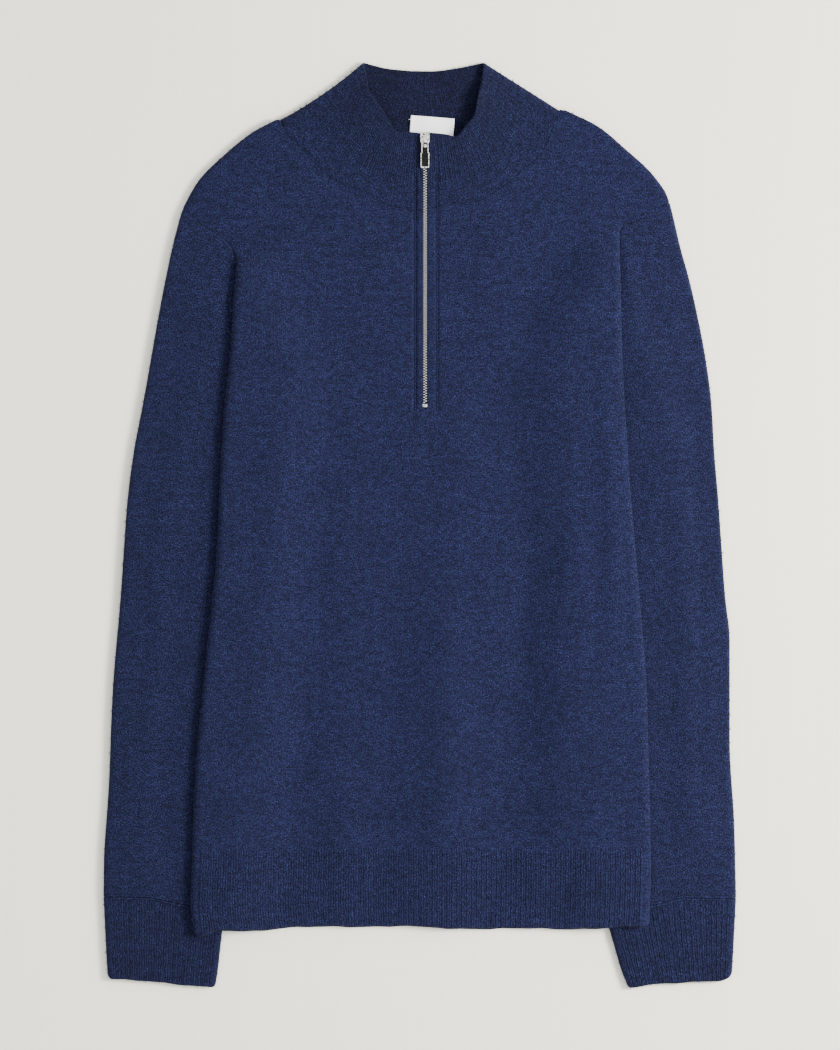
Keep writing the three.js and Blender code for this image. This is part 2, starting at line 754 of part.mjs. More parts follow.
function zipTape(side) {
  const near = ZIP_X + side.sign * 0.3;
  const far = ZIP_X + side.sign * TAPE_WIDE;
  const [x0, x1] = side === LEFT ? [far, near] : [near, far];
  const bottom = (y) => tapeTop(y) - TAPE_THICK;
  const ys = zipLevels(TAPE_LOW, TAPE_HIGH);
  return strip("zip_tape_" + side.name, x0, x1, ys, bottom, tapeTop, tapeCloth);
}

function zipChain() {
  const bottom = (y) => tapeTop(y) + 0.3;
  const top = (y) => LAID + zipUp(y) + 0.1;
  const ys = zipLevels(CHAIN_LOW, CHAIN_HIGH);
  return strip("zip_chain", ZIP_X - CHAIN_HALF, ZIP_X + CHAIN_HALF, ys, bottom, top, metal);
}

function zipStop() {
  const bottom = (y) => tapeTop(y) + 0.3;
  const top = (y) => LAID + zipUp(y) + 0.5;
  return strip("zip_stop", ZIP_X - 2, ZIP_X + 2, [CHAIN_LOW - 3, CHAIN_LOW - 0.4], bottom, top, metal);
}

// Slider: a plate over the chain, a core in the slit, and a bridge that holds the pull
const PIN_Y = 335.5;
const PLATE_HALF = 4;
const PLATE_LOW = PIN_Y - 2.6;
const PLATE_HIGH = PIN_Y + 6.4;
const PLATE_THICK = 1.2;
const PLATE_Z = LAID + RISE_ZIP + RIB / 2 + GAP;
const PIN_Z = PLATE_Z + PLATE_THICK + 1.25;
const BRIDGE_HALF = 0.8;
const FOOT_IN = 1.6;
const FOOT_OUT = 2.4;
const BEAM_LOW = PIN_Z + 1.2;
const BEAM_HIGH = BEAM_LOW + 0.8;

const wasm = await Module();
wasm.setup();

// A three.js geometry as a solid that can be joined and cut.
function solidOf(geometry) {
  const bare = geometry.clone();
  bare.deleteAttribute("normal");
  bare.deleteAttribute("uv");
  const merged = mergeVertices(bare, 1e-4);
  const vertProperties = merged.attributes.position.array;
  const triVerts = new Uint32Array(merged.index.array);
  return new wasm.Manifold(new wasm.Mesh({ numProp: 3, vertProperties, triVerts }));
}

function meshOfSolid(name, solid, material) {
  const { vertProperties, triVerts } = solid.getMesh();
  const geometry = new THREE.BufferGeometry();
  geometry.setAttribute("position", new THREE.BufferAttribute(vertProperties, 3));
  geometry.setIndex(new THREE.BufferAttribute(triVerts, 1));
  geometry.computeVertexNormals();
  const mesh = new THREE.Mesh(geometry, material);
  mesh.name = name;
  return mesh;
}

function block(x0, x1, y0, y1, z0, z1) {
  const box = new THREE.BoxGeometry(x1 - x0, y1 - y0, z1 - z0);
  return solidOf(box.translate((x0 + x1) / 2, (y0 + y1) / 2, (z0 + z1) / 2));
}

// A plate with rounded ends and soft edges, centred across x = 0.
function roundedPlate(half, y0, y1, z0, z1, corner, bevel = 0.2) {
  const shape = new THREE.Shape();
  const wide = half - bevel;
  const [low, high] = [y0 + bevel, y1 - bevel];
  shape.moveTo(-wide + corner, low);
  shape.lineTo(wide - corner, low);
  shape.quadraticCurveTo(wide, low, wide, low + corner);
  shape.lineTo(wide, high - corner);
  shape.quadraticCurveTo(wide, high, wide - corner, high);
  shape.lineTo(-wide + corner, high);
  shape.quadraticCurveTo(-wide, high, -wide, high - corner);
  shape.lineTo(-wide, low + corner);
  shape.quadraticCurveTo(-wide, low, -wide + corner, low);
  const options = { depth: z1 - z0 - 2 * bevel, curveSegments: 4, bevelSegments: 1 };
  options.bevelSize = bevel;
  options.bevelThickness = bevel;
  return solidOf(new THREE.ExtrudeGeometry(shape, options).translate(0, 0, z0 + bevel));
}

function zipSlider() {
  const coreLow = tapeTop(PLATE_LOW) + 0.3 + zipUp(PLATE_HIGH) - zipUp(PLATE_LOW);
  const top = PLATE_Z + PLATE_THICK;
  const plate = roundedPlate(PLATE_HALF, PLATE_LOW, PLATE_HIGH, PLATE_Z, top, 1.4);
  const core = block(-CHAIN_HALF, CHAIN_HALF, PLATE_LOW + 0.2, PLATE_HIGH - 1, coreLow, PLATE_Z + 0.5);
  const beam = block(-BRIDGE_HALF, BRIDGE_HALF, PIN_Y - FOOT_OUT, PIN_Y + FOOT_OUT, BEAM_LOW, BEAM_HIGH);
  let slider = plate.add(core).add(beam);
  for (const way of [-1, 1]) {
    const [y0, y1] = [PIN_Y + way * FOOT_IN, PIN_Y + way * FOOT_OUT].sort((a, b) => a - b);
    slider = slider.add(block(-BRIDGE_HALF, BRIDGE_HALF, y0, y1, top - 0.3, BEAM_LOW + 0.3));
  }
  const mesh = meshOfSolid("zip_slider", slider, metal);
  mesh.position.x = ZIP_X;
  return mesh;
}

// Pull tab: an eye round the bridge, a stem, and a broad end with a recess
const PULL_THICK = 1.2;
const EYE_DEEP = 3.7;
const STEM_END = 10.5;
const PULL_LONG = 24.5;
const STEM_HALF = 3.1;
const GRIP_HALF = 3.8;
const RECESS_TOP = 6.2;
const PULL_TILT = 7.5; // degrees that it lies down below level at rest

function zipPull() {
  const half = PULL_THICK / 2;
  const stem = roundedPlate(STEM_HALF, -STEM_END - 1, half, -half, half, 0.8, 0.15);
  const grip = roundedPlate(GRIP_HALF, -PULL_LONG, -STEM_END, -half, half, 1.2, 0.15);
  const eye = block(-1.6, 1.6, -EYE_DEEP, -half, -half - 1, half + 1);
  const bed = block(-GRIP_HALF + 1.2, GRIP_HALF - 1.2, -PULL_LONG + 1.3, -STEM_END - 1, 0, half + 1);
  const recess = bed.add(block(-STEM_HALF + 1.2, STEM_HALF - 1.2, -STEM_END - 2, -RECESS_TOP, 0, half + 1));
  const mesh = meshOfSolid("zip_pull", stem.add(grip).subtract(eye).subtract(recess), metal);
  mesh.rotation.x = THREE.MathUtils.degToRad(PULL_TILT);
  mesh.position.set(ZIP_X, PIN_Y, PIN_Z);
  return mesh;
}

// Label inside the back of the collar, sewn on a little askew
const LABEL = { wide: 38, high: 22, thick: 0.5, x: 11, y: 345.5, turn: -4.5 };

function label() {
  const mesh = new THREE.Mesh(new THREE.BoxGeometry(LABEL.wide, LABEL.high, LABEL.thick), labelCloth);
  mesh.name = "label";
  mesh.rotation.z = THREE.MathUtils.degToRad(LABEL.turn);
  mesh.position.set(LABEL.x, LABEL.y, WALL + RIB / 2 + GAP + LABEL.thick / 2);
  return mesh;
}

const group = new THREE.Group();
group.add(frontPanel(), backPanel(), collar());
for (const side of [LEFT, RIGHT]) group.add(sleeve(side), cuff(side), zipTape(side));
group.add(zipChain(), zipStop(), zipSlider(), zipPull(), label());

export default group;
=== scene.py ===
# %% [markdown]
# # A quarter zip sweater, laid flat
# A fine knit sweater is a handful of knitted pieces: a front, a back, two sleeves, rib cuffs and a rib
# collar, with a short metal zip. The frame holds each piece's solid at its real size. This lesson makes
# the knit that shows on those solids: thin shells of cloth with real ribs, the teeth of the zip, the
# stitching and the label. The pattern tables are in millimetres, as on a maker's paper pattern, and MM
# turns them into Blender's metres.

# %% Load the frame
import math

import bmesh
import bpy
import numpy as np
from mathutils import Matrix, Vector, noise


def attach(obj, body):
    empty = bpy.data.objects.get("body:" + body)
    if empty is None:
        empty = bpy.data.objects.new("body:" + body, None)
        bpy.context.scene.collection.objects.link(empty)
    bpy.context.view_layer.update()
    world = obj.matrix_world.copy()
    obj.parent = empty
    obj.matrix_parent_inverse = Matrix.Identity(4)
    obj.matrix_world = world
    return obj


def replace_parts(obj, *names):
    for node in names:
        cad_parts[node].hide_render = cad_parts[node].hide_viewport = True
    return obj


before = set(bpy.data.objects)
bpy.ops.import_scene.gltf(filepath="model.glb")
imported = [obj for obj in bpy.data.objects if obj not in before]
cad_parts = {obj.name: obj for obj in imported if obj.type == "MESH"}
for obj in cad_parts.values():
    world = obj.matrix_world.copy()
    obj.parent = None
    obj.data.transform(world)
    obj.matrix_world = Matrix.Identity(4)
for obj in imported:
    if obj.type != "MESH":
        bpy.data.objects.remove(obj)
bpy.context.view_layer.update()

MM = 0.001

# %% [markdown]
# ## Camera
# The sweater is seen from straight above. A long lens far away keeps the sleeves parallel, where a short
# lens would spread them. The frame is 735 mm wide, so the sweater leaves the same margins as in the
# photograph.

# %% Camera
VIEW_WIDTH = 0.735
CAMERA_HEIGHT = 3.2
FILM_WIDTH = 36.0
CAMERA_X = 0.0007
camera_data = bpy.data.cameras.new("camera")
camera_data.sensor_fit = "HORIZONTAL"
camera_data.sensor_width = FILM_WIDTH
camera_data.lens = FILM_WIDTH * CAMERA_HEIGHT / VIEW_WIDTH
camera = bpy.data.objects.new("camera", camera_data)
camera.location = (CAMERA_X, 0.0, CAMERA_HEIGHT)
bpy.context.scene.collection.objects.link(camera)
bpy.context.scene.camera = camera
print("lens in mm:", round(camera_data.lens, 1))

# %% [markdown]
# ## The pattern
# A maker lays the pieces flat and draws round them. Each outline here is a short table with named
# columns, in mm from the middle of the frame. The body's outer edge also says, at each level, whether it
# rolls over (roll 1) or is sewn to a sleeve (roll 0), and how far it has risen onto the sleeve (lift).

# %% Pattern sizes
WALL = 2.4  # one thickness of cloth
GAP = 0.4  # air between two pieces
LAID = 6.8  # two thicknesses, laid flat
UNDER = LAID + GAP
SIDE_TOP = 14.8  # where the body lies on a sleeve
STEP = 56.0  # width of the slope beside the sleeve
ROLL = 7.0  # how far in the body's edge rolls
TUBE_ROLL = 5.0
RIB = 0.7
RIB_PITCH = 4.33
CUFF_SEAM_GAP = 0.9
CROWN = 1.5
HEM_TOP = -282.5
SLIT_END = 102.5
ZIP_X = 5.0
SLIT_HALF = 2.4
print("the body is", SIDE_TOP, "mm high where it lies on a sleeve")


def columns(names, *rows):
    """A table as named columns of numbers."""
    return {name: np.array(column, float) for name, column in zip(names.split(), zip(*rows))}


# %% Body outline
BODY_LEFT = columns(
    "y x roll lift",
    (353.5, -126, 1, 0), (344, -144.5, 1, 0), (323, -171, 1, 0), (302, -192, 1, 0), (283.5, -203, 1, 0),
    (275.5, -206.5, 1, 0), (271, -201, 0, 0), (260, -186.5, 0, 0), (249.5, -170, 0, 0),
    (241.5, -163, 0, 0), (235.5, -160, 1, 0.35), (221.5, -160, 1, 1), (197, -162, 1, 1),
    (166, -163.5, 1, 1), (83, -171.5, 1, 1), (-28, -177, 1, 1), (-111, -185.5, 1, 1),
    (-221.5, -195.5, 1, 1), (-304.5, -198.5, 1, 1), (-328, -199.5, 1, 1), (-358, -196, 1, 1),
)
BODY_RIGHT = columns(
    "y x roll lift",
    (362, 128.5, 1, 0), (349, 155.5, 1, 0), (328, 181, 1, 0), (307, 203.5, 1, 0), (287, 217, 1, 0),
    (281.5, 218.5, 1, 0), (279.5, 212.5, 0, 0), (273, 195, 0, 0), (262.5, 176.5, 0, 0),
    (257, 175, 1, 0.3), (239, 175, 1, 1), (197, 176, 1, 1), (166, 176.5, 1, 1), (55, 182.5, 1, 1),
    (-55, 191.5, 1, 1), (-138.5, 198, 1, 1), (-221.5, 200.5, 1, 1), (-304.5, 202, 1, 1),
    (-350, 200.5, 1, 1),
)

# %% Neck and collar outlines
NECK_LEFT = columns(
    "y x",
    (353.5, -122), (345, -117.5), (334, -107), (313, -87), (301, -73), (291.5, -50), (279, -25.5),
    (274, ZIP_X - SLIT_HALF),
)
NECK_RIGHT = columns(
    "y x",
    (362, 122.5), (323.5, 107), (311.5, 92.5), (297.5, 77), (281.5, 48), (279, 28),
    (276, ZIP_X + SLIT_HALF),
)
BACK_NECK_LEFT = columns(
    "y x",
    (353.5, -122), (346.5, -104.5), (334, -60.5), (328, -0.5),
)
BACK_NECK_RIGHT = columns(
    "y x",
    (362, 122.5), (347.5, 105.5), (334, 62), (328, 1.5),
)
COLLAR_TOP_LEFT = columns(
    "y x",
    (404, -49), (387.5, -45.5), (379, -44.5), (371, -39), (359.5, -31), (343, -19), (342.5, -9),
    (341, ZIP_X - SLIT_HALF),
)
COLLAR_TOP_RIGHT = columns(
    "y x",
    (404, 56.5), (387.5, 55), (376.5, 52), (356.5, 48), (350, 42.5), (338.5, 31.5), (340.5, 22.5),
    (342, ZIP_X + SLIT_HALF),
)
COLLAR_TOP_BACK = columns(
    "y x",
    (404, -49), (398.5, -25.5), (396.5, 0), (396.5, 11), (399.5, 35.5), (404, 56.5),
)

# %% Sleeve and cuff outlines
SLEEVE_LEFT = columns(
    "y x",
    (275.5, -206.5), (265, -210), (244, -215.5), (211, -222.5), (179.5, -228.5), (148, -234),
    (106, -241.5), (64, -249.5), (22, -255), (-62, -261), (-146, -268), (-230, -271.5), (-290, -275.5),
    (-324, -276),
)
SLEEVE_RIGHT = columns(
    "y x",
    (281.5, 218.5), (265, 223), (244, 228), (211, 237), (179.5, 244), (148, 250), (106, 255.5),
    (64, 258), (22, 261.5), (-62, 267.5), (-104, 271.5), (-188, 271.5), (-261.5, 275.5), (-325.5, 277),
)
ARMHOLE_LEFT = columns(
    "y x",
    (275.5, -206.5), (271, -201), (260, -186.5), (249.5, -170), (241.5, -163), (235.5, -160),
    (221.5, -160), (180, -141), (130, -124),
)
ARMHOLE_RIGHT = columns(
    "y x",
    (281.5, 218.5), (279.5, 212.5), (273, 195), (262.5, 176.5), (257, 175), (239, 175), (195, 152),
    (140, 134),
)
CUFF_SEAM_LEFT = columns(
    "y x",
    (-324, -276), (-324.5, -241), (-330.5, -206.5), (-335, -170),
)
CUFF_SEAM_RIGHT = columns(
    "y x",
    (-325.5, 277), (-325, 232.5), (-331.5, 202), (-336, 161.5),
)
CUFF_END_LEFT = columns(
    "y x",
    (-395.5, -272.5), (-398.5, -236), (-403.5, -177.5),
)
CUFF_END_RIGHT = columns(
    "y x",
    (-394.5, 273.5), (-398, 262), (-400, 210), (-404.5, 181),
)

# %% Hem and folds
HEM_EDGE = columns(
    "x y",
    (-200, -354), (-192.5, -357), (-171.5, -352.5), (-143, -352.5), (-115, -350), (-17, -349),
    (27, -351), (123, -351), (202, -348.5),
)
# Six soft creases, then five folds that show as bands of light: crest, two ends, half width, height
FOLDS = columns(
    "x top foot half height",
    (29, 120, -300, 30, 1.5), (134, 30, -310, 26, 1.3), (-66, 60, -300, 28, 0.9),
    (86, 60, -260, 20, -0.7), (-22, 90, -280, 22, -0.6), (-128, 150, -330, 24, 0.6),
    (20, -60, -430, 55, 3.2), (108, -40, -430, 28, 2.2), (168, 170, -110, 15, 1.3),
    (-66, -180, -430, 26, 0.9), (60, 60, -120, 22, 0.8),
)
print("creases and folds:", len(FOLDS["x"]))

# %% The two sides
LEFT = {
    "name": "left", "sign": -1, "body": BODY_LEFT, "neck": NECK_LEFT, "collar_top": COLLAR_TOP_LEFT,
    "back_neck": BACK_NECK_LEFT, "sleeve": SLEEVE_LEFT, "armhole": ARMHOLE_LEFT,
    "cuff_seam": CUFF_SEAM_LEFT, "cuff_end": CUFF_END_LEFT,
}
RIGHT = {
    "name": "right", "sign": 1, "body": BODY_RIGHT, "neck": NECK_RIGHT, "collar_top": COLLAR_TOP_RIGHT,
    "back_neck": BACK_NECK_RIGHT, "sleeve": SLEEVE_RIGHT, "armhole": ARMHOLE_RIGHT,
    "cuff_seam": CUFF_SEAM_RIGHT, "cuff_end": CUFF_END_RIGHT,
}
SIDES = (LEFT, RIGHT)
print("lines drawn for each side:", len(LEFT) - 2)

# %% [markdown]
# ## Curves through the tables
# Straight lines between a table's rows would leave corners in the outline. A monotone cubic passes
# through the same rows without overshooting, as a maker's curved ruler does.


# %% Curve helpers
def curve(xs, ys, at):
    """A smooth monotone curve through the points (xs, ys), read at each value of at."""
    order = np.argsort(xs)
    xs, ys = np.asarray(xs, float)[order], np.asarray(ys, float)[order]
    gap = np.diff(xs)
    slope = np.diff(ys) / gap
    tangent = np.zeros_like(ys)
    tangent[0], tangent[-1] = slope[0], slope[-1]
    same = slope[:-1] * slope[1:] > 0
    both = slope[:-1] + slope[1:]
    tangent[1:-1][same] = 2 * slope[:-1][same] * slope[1:][same] / both[same]
    at = np.clip(np.asarray(at, float), xs[0], xs[-1])
    i = np.clip(np.searchsorted(xs, at) - 1, 0, len(gap) - 1)
    t = (at - xs[i]) / gap[i]
    start = (1 + 2 * t) * (1 - t) ** 2 * ys[i] + t * (1 - t) ** 2 * gap[i] * tangent[i]
    end = t * t * (3 - 2 * t) * ys[i + 1] + t * t * (t - 1) * gap[i] * tangent[i + 1]
    return start + end


def level(table, column, y):
    """A column of a table at the height y."""
    return curve(table["y"], table[column], y)


def straight_level(table, column, y):
    """The same with straight lines, for what changes suddenly."""
    order = np.argsort(table["y"])
    return np.interp(y, table["y"][order], table[column][order])


def along(table, share):
    """Points at shares of a table's length, as an array of x and y."""
    steps = np.hypot(np.diff(table["x"]), np.diff(table["y"]))
    marks = np.concatenate([[0], np.cumsum(steps)]) / steps.sum()
    share = np.clip(np.asarray(share, float), 0, 1)
    return np.stack([curve(marks, table["x"], share), curve(marks, table["y"], share)], axis=-1)


def neck_x(table, y):
    """The x of a seam at the height y, read from the same smooth line as along gives."""
    line = along(table, np.linspace(0, 1, 400))
    order = np.argsort(line[:, 1])
    return float(np.interp(y, line[order, 1], line[order, 0]))


def smooth(t):
    t = np.clip(t, 0, 1)
    return t * t * (3 - 2 * t)


def mix(a, b, t):
    return a + (b - a) * t


def line_length(points):
    return float(np.hypot(*np.diff(points, axis=0).T).sum())


for side in SIDES:
    parts = [side["armhole"], side["cuff_seam"], side["cuff_end"]]
    first = {key: parts[0][key][-3:] for key in "xy"}
    rows = {key: [*first[key], parts[1][key][-1], parts[2][key][-1]] for key in "xy"}
    side["hidden"] = {key: np.array(rows[key], float) for key in "xy"}
print("sleeve edge at the chest:", round(float(level(SLEEVE_LEFT, "x", 100)), 1), "mm")

# %% [markdown]
# ## Cloth from two grids
# Every knitted piece is a wall of yarn about 2.4 mm thick, with an outer and an inner face. Each face is
# a bmesh grid whose vertices are moved to the pattern's points, and rims join the two all round. A rim
# has a line of its own in the middle, so an edge of cloth is rounded, never a sharp corner. A UV map in
# real metres stays on each piece, so that the stitches follow the knit wherever it bends.


# %% Cloth helper
def mark(loop, maps, values):
    """Writes a plan's four columns: the place in the knit in mm, then the rib count and its strength."""
    loop[maps[0]].uv = values[:2] * MM
    loop[maps[1]].uv = values[2:]


def lay_grid(cloth_mesh, maps, points, plan):
    """One face of the cloth: a grid moved to points (rows, columns, 3), in mm, with its plan."""
    rows, cols = points.shape[:2]
    made = bmesh.ops.create_grid(cloth_mesh, x_segments=cols - 1, y_segments=rows - 1, size=1.0)
    table = np.empty((rows, cols), object)
    for vert in made["verts"]:
        place = (round((vert.co.y + 1) / 2 * (rows - 1)), round((vert.co.x + 1) / 2 * (cols - 1)))
        table[place] = vert
        for loop in vert.link_loops:
            mark(loop, maps, plan[place])
    for place in np.ndindex(rows, cols):
        table[place].co = Vector(points[place]) * MM
    return table


def rim(cloth_mesh, maps, outer, inner, away, plan, lip):
    """Joins a line of the outer face to the inner one over a rounded lip that leans away."""
    middle = []
    for a, b, lean in zip(outer, inner, away):
        middle.append(cloth_mesh.verts.new((a.co + b.co) / 2 + Vector(lean) * lip * MM))
    for first, second in ((outer, middle), (middle, inner)):
        for i in range(len(outer) - 1):
            face = cloth_mesh.faces.new([first[i + 1], first[i], second[i], second[i + 1]])
            for loop, k in zip(face.loops, (i + 1, i, i, i + 1)):
                mark(loop, maps, plan[k])


def leaning(lines):
    """Unit vectors that point from the second line of points to the first."""
    away = lines[0] - lines[1]
    return away / np.maximum(np.linalg.norm(away, axis=-1, keepdims=True), 1e-9)


def cloth(name, walls, lip=0.7, body="garment"):
    """A knitted piece from walls, each a dict of outer and inner points, plan, and the rims to close."""
    cloth_mesh = bmesh.new()
    maps = [cloth_mesh.loops.layers.uv.new(map_name) for map_name in ("knit", "rib")]
    for part in walls:
        outer, inner = part["outer"], part["inner"]
        plan = np.concatenate([part["plan"], part.get("ribs", np.zeros_like(part["plan"]))], axis=-1)
        top = lay_grid(cloth_mesh, maps, outer, plan)
        low = lay_grid(cloth_mesh, maps, inner, plan)
        turned = outer.transpose(1, 0, 2)
        lines = {
            "foot": (top[0], low[0], leaning(outer), plan[0]),
            "head": (top[-1], low[-1], leaning(outer[::-1]), plan[-1]),
            "first": (top[:, 0], low[:, 0], leaning(turned), plan[:, 0]),
            "last": (top[:, -1], low[:, -1], leaning(turned[::-1]), plan[:, -1]),
        }
        for edge, start in part["rims"].items():
            upper, under, away, marks = (line[start:] for line in lines[edge])
            rim(cloth_mesh, maps, upper, under, away, marks, lip)
    bmesh.ops.remove_doubles(cloth_mesh, verts=cloth_mesh.verts, dist=1e-6)
    bmesh.ops.recalc_face_normals(cloth_mesh, faces=cloth_mesh.faces)
    for face in cloth_mesh.faces:
        face.smooth = True
    mesh = bpy.data.meshes.new(name)
    cloth_mesh.to_mesh(mesh)
    cloth_mesh.free()
    piece = bpy.data.objects.new(name, mesh)
    bpy.context.scene.collection.objects.link(piece)
    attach(piece, body)
    print(name, "polygons", len(mesh.polygons))
    return piece


def rib_height(turns):
    """A rounded rib with a narrow groove on each side; turns counts the ribs across."""
    part = np.mod(turns, 1)
    crest = np.abs(np.sin(np.pi * part)) ** 0.6
    dip = 0.25 * np.exp(-(((part - 0.5) / 0.16) ** 2))
    return crest - dip


def crease_height(x, y):
    """Height of the soft creases at x and y, each with its own wander."""
    height = np.zeros_like(x + y)
    for i in range(len(FOLDS["x"])):
        c = {key: FOLDS[key][i] for key in FOLDS}
        wander = 5 * np.sin((y + 40 * i) / 95) + 2 * np.sin((y - 25 * i) / 37)
        across = np.minimum(1, np.abs(x - c["x"] - wander) / c["half"])
        ends = smooth((c["top"] - y) / 60) * smooth((y - c["foot"]) / 40)
        height = height + c["height"] * np.cos(across * np.pi / 2) ** 2 * ends
    return height


# %% [markdown]
# ## Building blocks of a finish
# A finish is a small graph of nodes: a pattern, a ramp that turns it into colours, and a bump that turns
# it into relief. The same four or five nodes come back in every finish here, so each gets a helper that
# makes it, sets its values and links it.


# %% Node helpers
def shader_of(name, roughness, colour=(0.5, 0.5, 0.5, 1), metallic=0.0):
    """A new material with a Principled shader, as (material, nodes, links, shader)."""
    material = bpy.data.materials.new(name)
    material.use_nodes = True
    nodes, links = material.node_tree.nodes, material.node_tree.links
    nodes.clear()
    output = nodes.new("ShaderNodeOutputMaterial")
    shader = nodes.new("ShaderNodeBsdfPrincipled")
    shader.inputs["Roughness"].default_value = roughness
    shader.inputs["Metallic"].default_value = metallic
    shader.inputs["Base Color"].default_value = colour
    links.new(shader.outputs["BSDF"], output.inputs["Surface"])
    return material, nodes, links, shader


def noise_of(nodes, links, vector, scale, detail, stretch=(1, 1, 1)):
    """Noise on a vector, stretched along its axes, with features of 1 / scale metres."""
    mapping = nodes.new("ShaderNodeMapping")
    mapping.inputs["Scale"].default_value = stretch
    links.new(vector, mapping.inputs["Vector"])
    noisy = nodes.new("ShaderNodeTexNoise")
    noisy.inputs["Scale"].default_value = scale
    noisy.inputs["Detail"].default_value = detail
    noisy.inputs["Roughness"].default_value = 0.62
    links.new(mapping.outputs["Vector"], noisy.inputs["Vector"])
    return noisy.outputs["Fac"]


def ramp_of(nodes, links, value, *stops):
    """A colour ramp through stops of (position, red, green, blue)."""
    ramp = nodes.new("ShaderNodeValToRGB")
    elements = ramp.color_ramp.elements
    for i, (position, *colour) in enumerate(stops):
        element = elements[i] if i < 2 else elements.new(position)
        element.position = position
        element.color = (*colour, 1)
    links.new(value, ramp.inputs["Fac"])
    return ramp.outputs["Color"]


def blended(nodes, links, kind, share, first, second):
    """Two colours mixed; share is a number or a socket."""
    node = nodes.new("ShaderNodeMix")
    node.data_type = "RGBA"
    node.blend_type = kind
    if isinstance(share, (int, float)):
        node.inputs[0].default_value = share
    else:
        links.new(share, node.inputs[0])
    links.new(first, node.inputs[6])
    if isinstance(second, tuple):
        node.inputs[7].default_value = second
    else:
        links.new(second, node.inputs[7])
    return node.outputs[2]


def maths(nodes, links, operation, first, second):
    """A maths node on a socket and a number or socket."""
    node = nodes.new("ShaderNodeMath")
    node.operation = operation
    links.new(first, node.inputs[0])
    if isinstance(second, (int, float)):
        node.inputs[1].default_value = second
    else:
        links.new(second, node.inputs[1])
    return node.outputs["Value"]


def add_bump(nodes, links, shader, height, strength, distance):
    """Relief on a shader from a height socket; distance is in metres."""
    bump = nodes.new("ShaderNodeBump")
    bump.inputs["Strength"].default_value = strength
    bump.inputs["Distance"].default_value = distance
    links.new(height, bump.inputs["Height"])
    links.new(bump.outputs["Normal"], shader.inputs["Normal"])


print("node helpers ready")

# %% [markdown]
# ## Yarn
# The yarn is a brushed heather: dark blue fibres with lighter and violet ones among them, so the colour
# changes from stitch to stitch. The stitches are far too many to model, so noise in each piece's own UV
# map gives the mottle, and a bump gives its relief. A second UV map counts the ribs, and darkens the
# grooves between their stitch columns with painted shade. The sleeves get a crisper grain, as theirs
# looked too smooth beside the body. Sheen stands for the light that the nap catches at grazing angles.

# %% Knit finish
YARN = {
    "dark": (0.0011, 0.0015, 0.0070),
    "mid": (0.0052, 0.0069, 0.0280),
    "light": (0.0182, 0.0233, 0.0800),
    "bright": (0.0345, 0.0445, 0.146),
    "plum": (0.0176, 0.0168, 0.0780),
}
STITCH_WANDER = 0.7  # how far a rib's stitches stray, in ribs
COLUMN_SHARE = 0.6  # how much of the stripe is stitch columns, the rest being whole ribs


def wave(nodes, links, turn, share):
    """A wave's distance from zero, times a share; turn is its angle."""
    height = maths(nodes, links, "ABSOLUTE", maths(nodes, links, "SINE", turn, 0.0), 0.0)
    return maths(nodes, links, "MULTIPLY", height, share)


def rib_stripes(nodes, links, vector):
    """The two stitch columns of each rib as 0 to 1, and how strongly the place is ribbed."""
    source = nodes.new("ShaderNodeUVMap")
    source.uv_map = "rib"
    parts = nodes.new("ShaderNodeSeparateXYZ")
    links.new(source.outputs["UV"], parts.inputs["Vector"])
    stray = noise_of(nodes, links, vector, 200.0, 2.0)
    stray = maths(nodes, links, "MULTIPLY", stray, STITCH_WANDER)
    turn = maths(nodes, links, "ADD", parts.outputs["X"], stray)
    turn = maths(nodes, links, "MULTIPLY", turn, 2 * math.pi)
    stitch_columns = wave(nodes, links, turn, COLUMN_SHARE)
    half_turn = maths(nodes, links, "MULTIPLY", turn, 0.5)
    whole_ribs = wave(nodes, links, half_turn, 1 - COLUMN_SHARE)
    return maths(nodes, links, "ADD", stitch_columns, whole_ribs), parts.outputs["Y"]


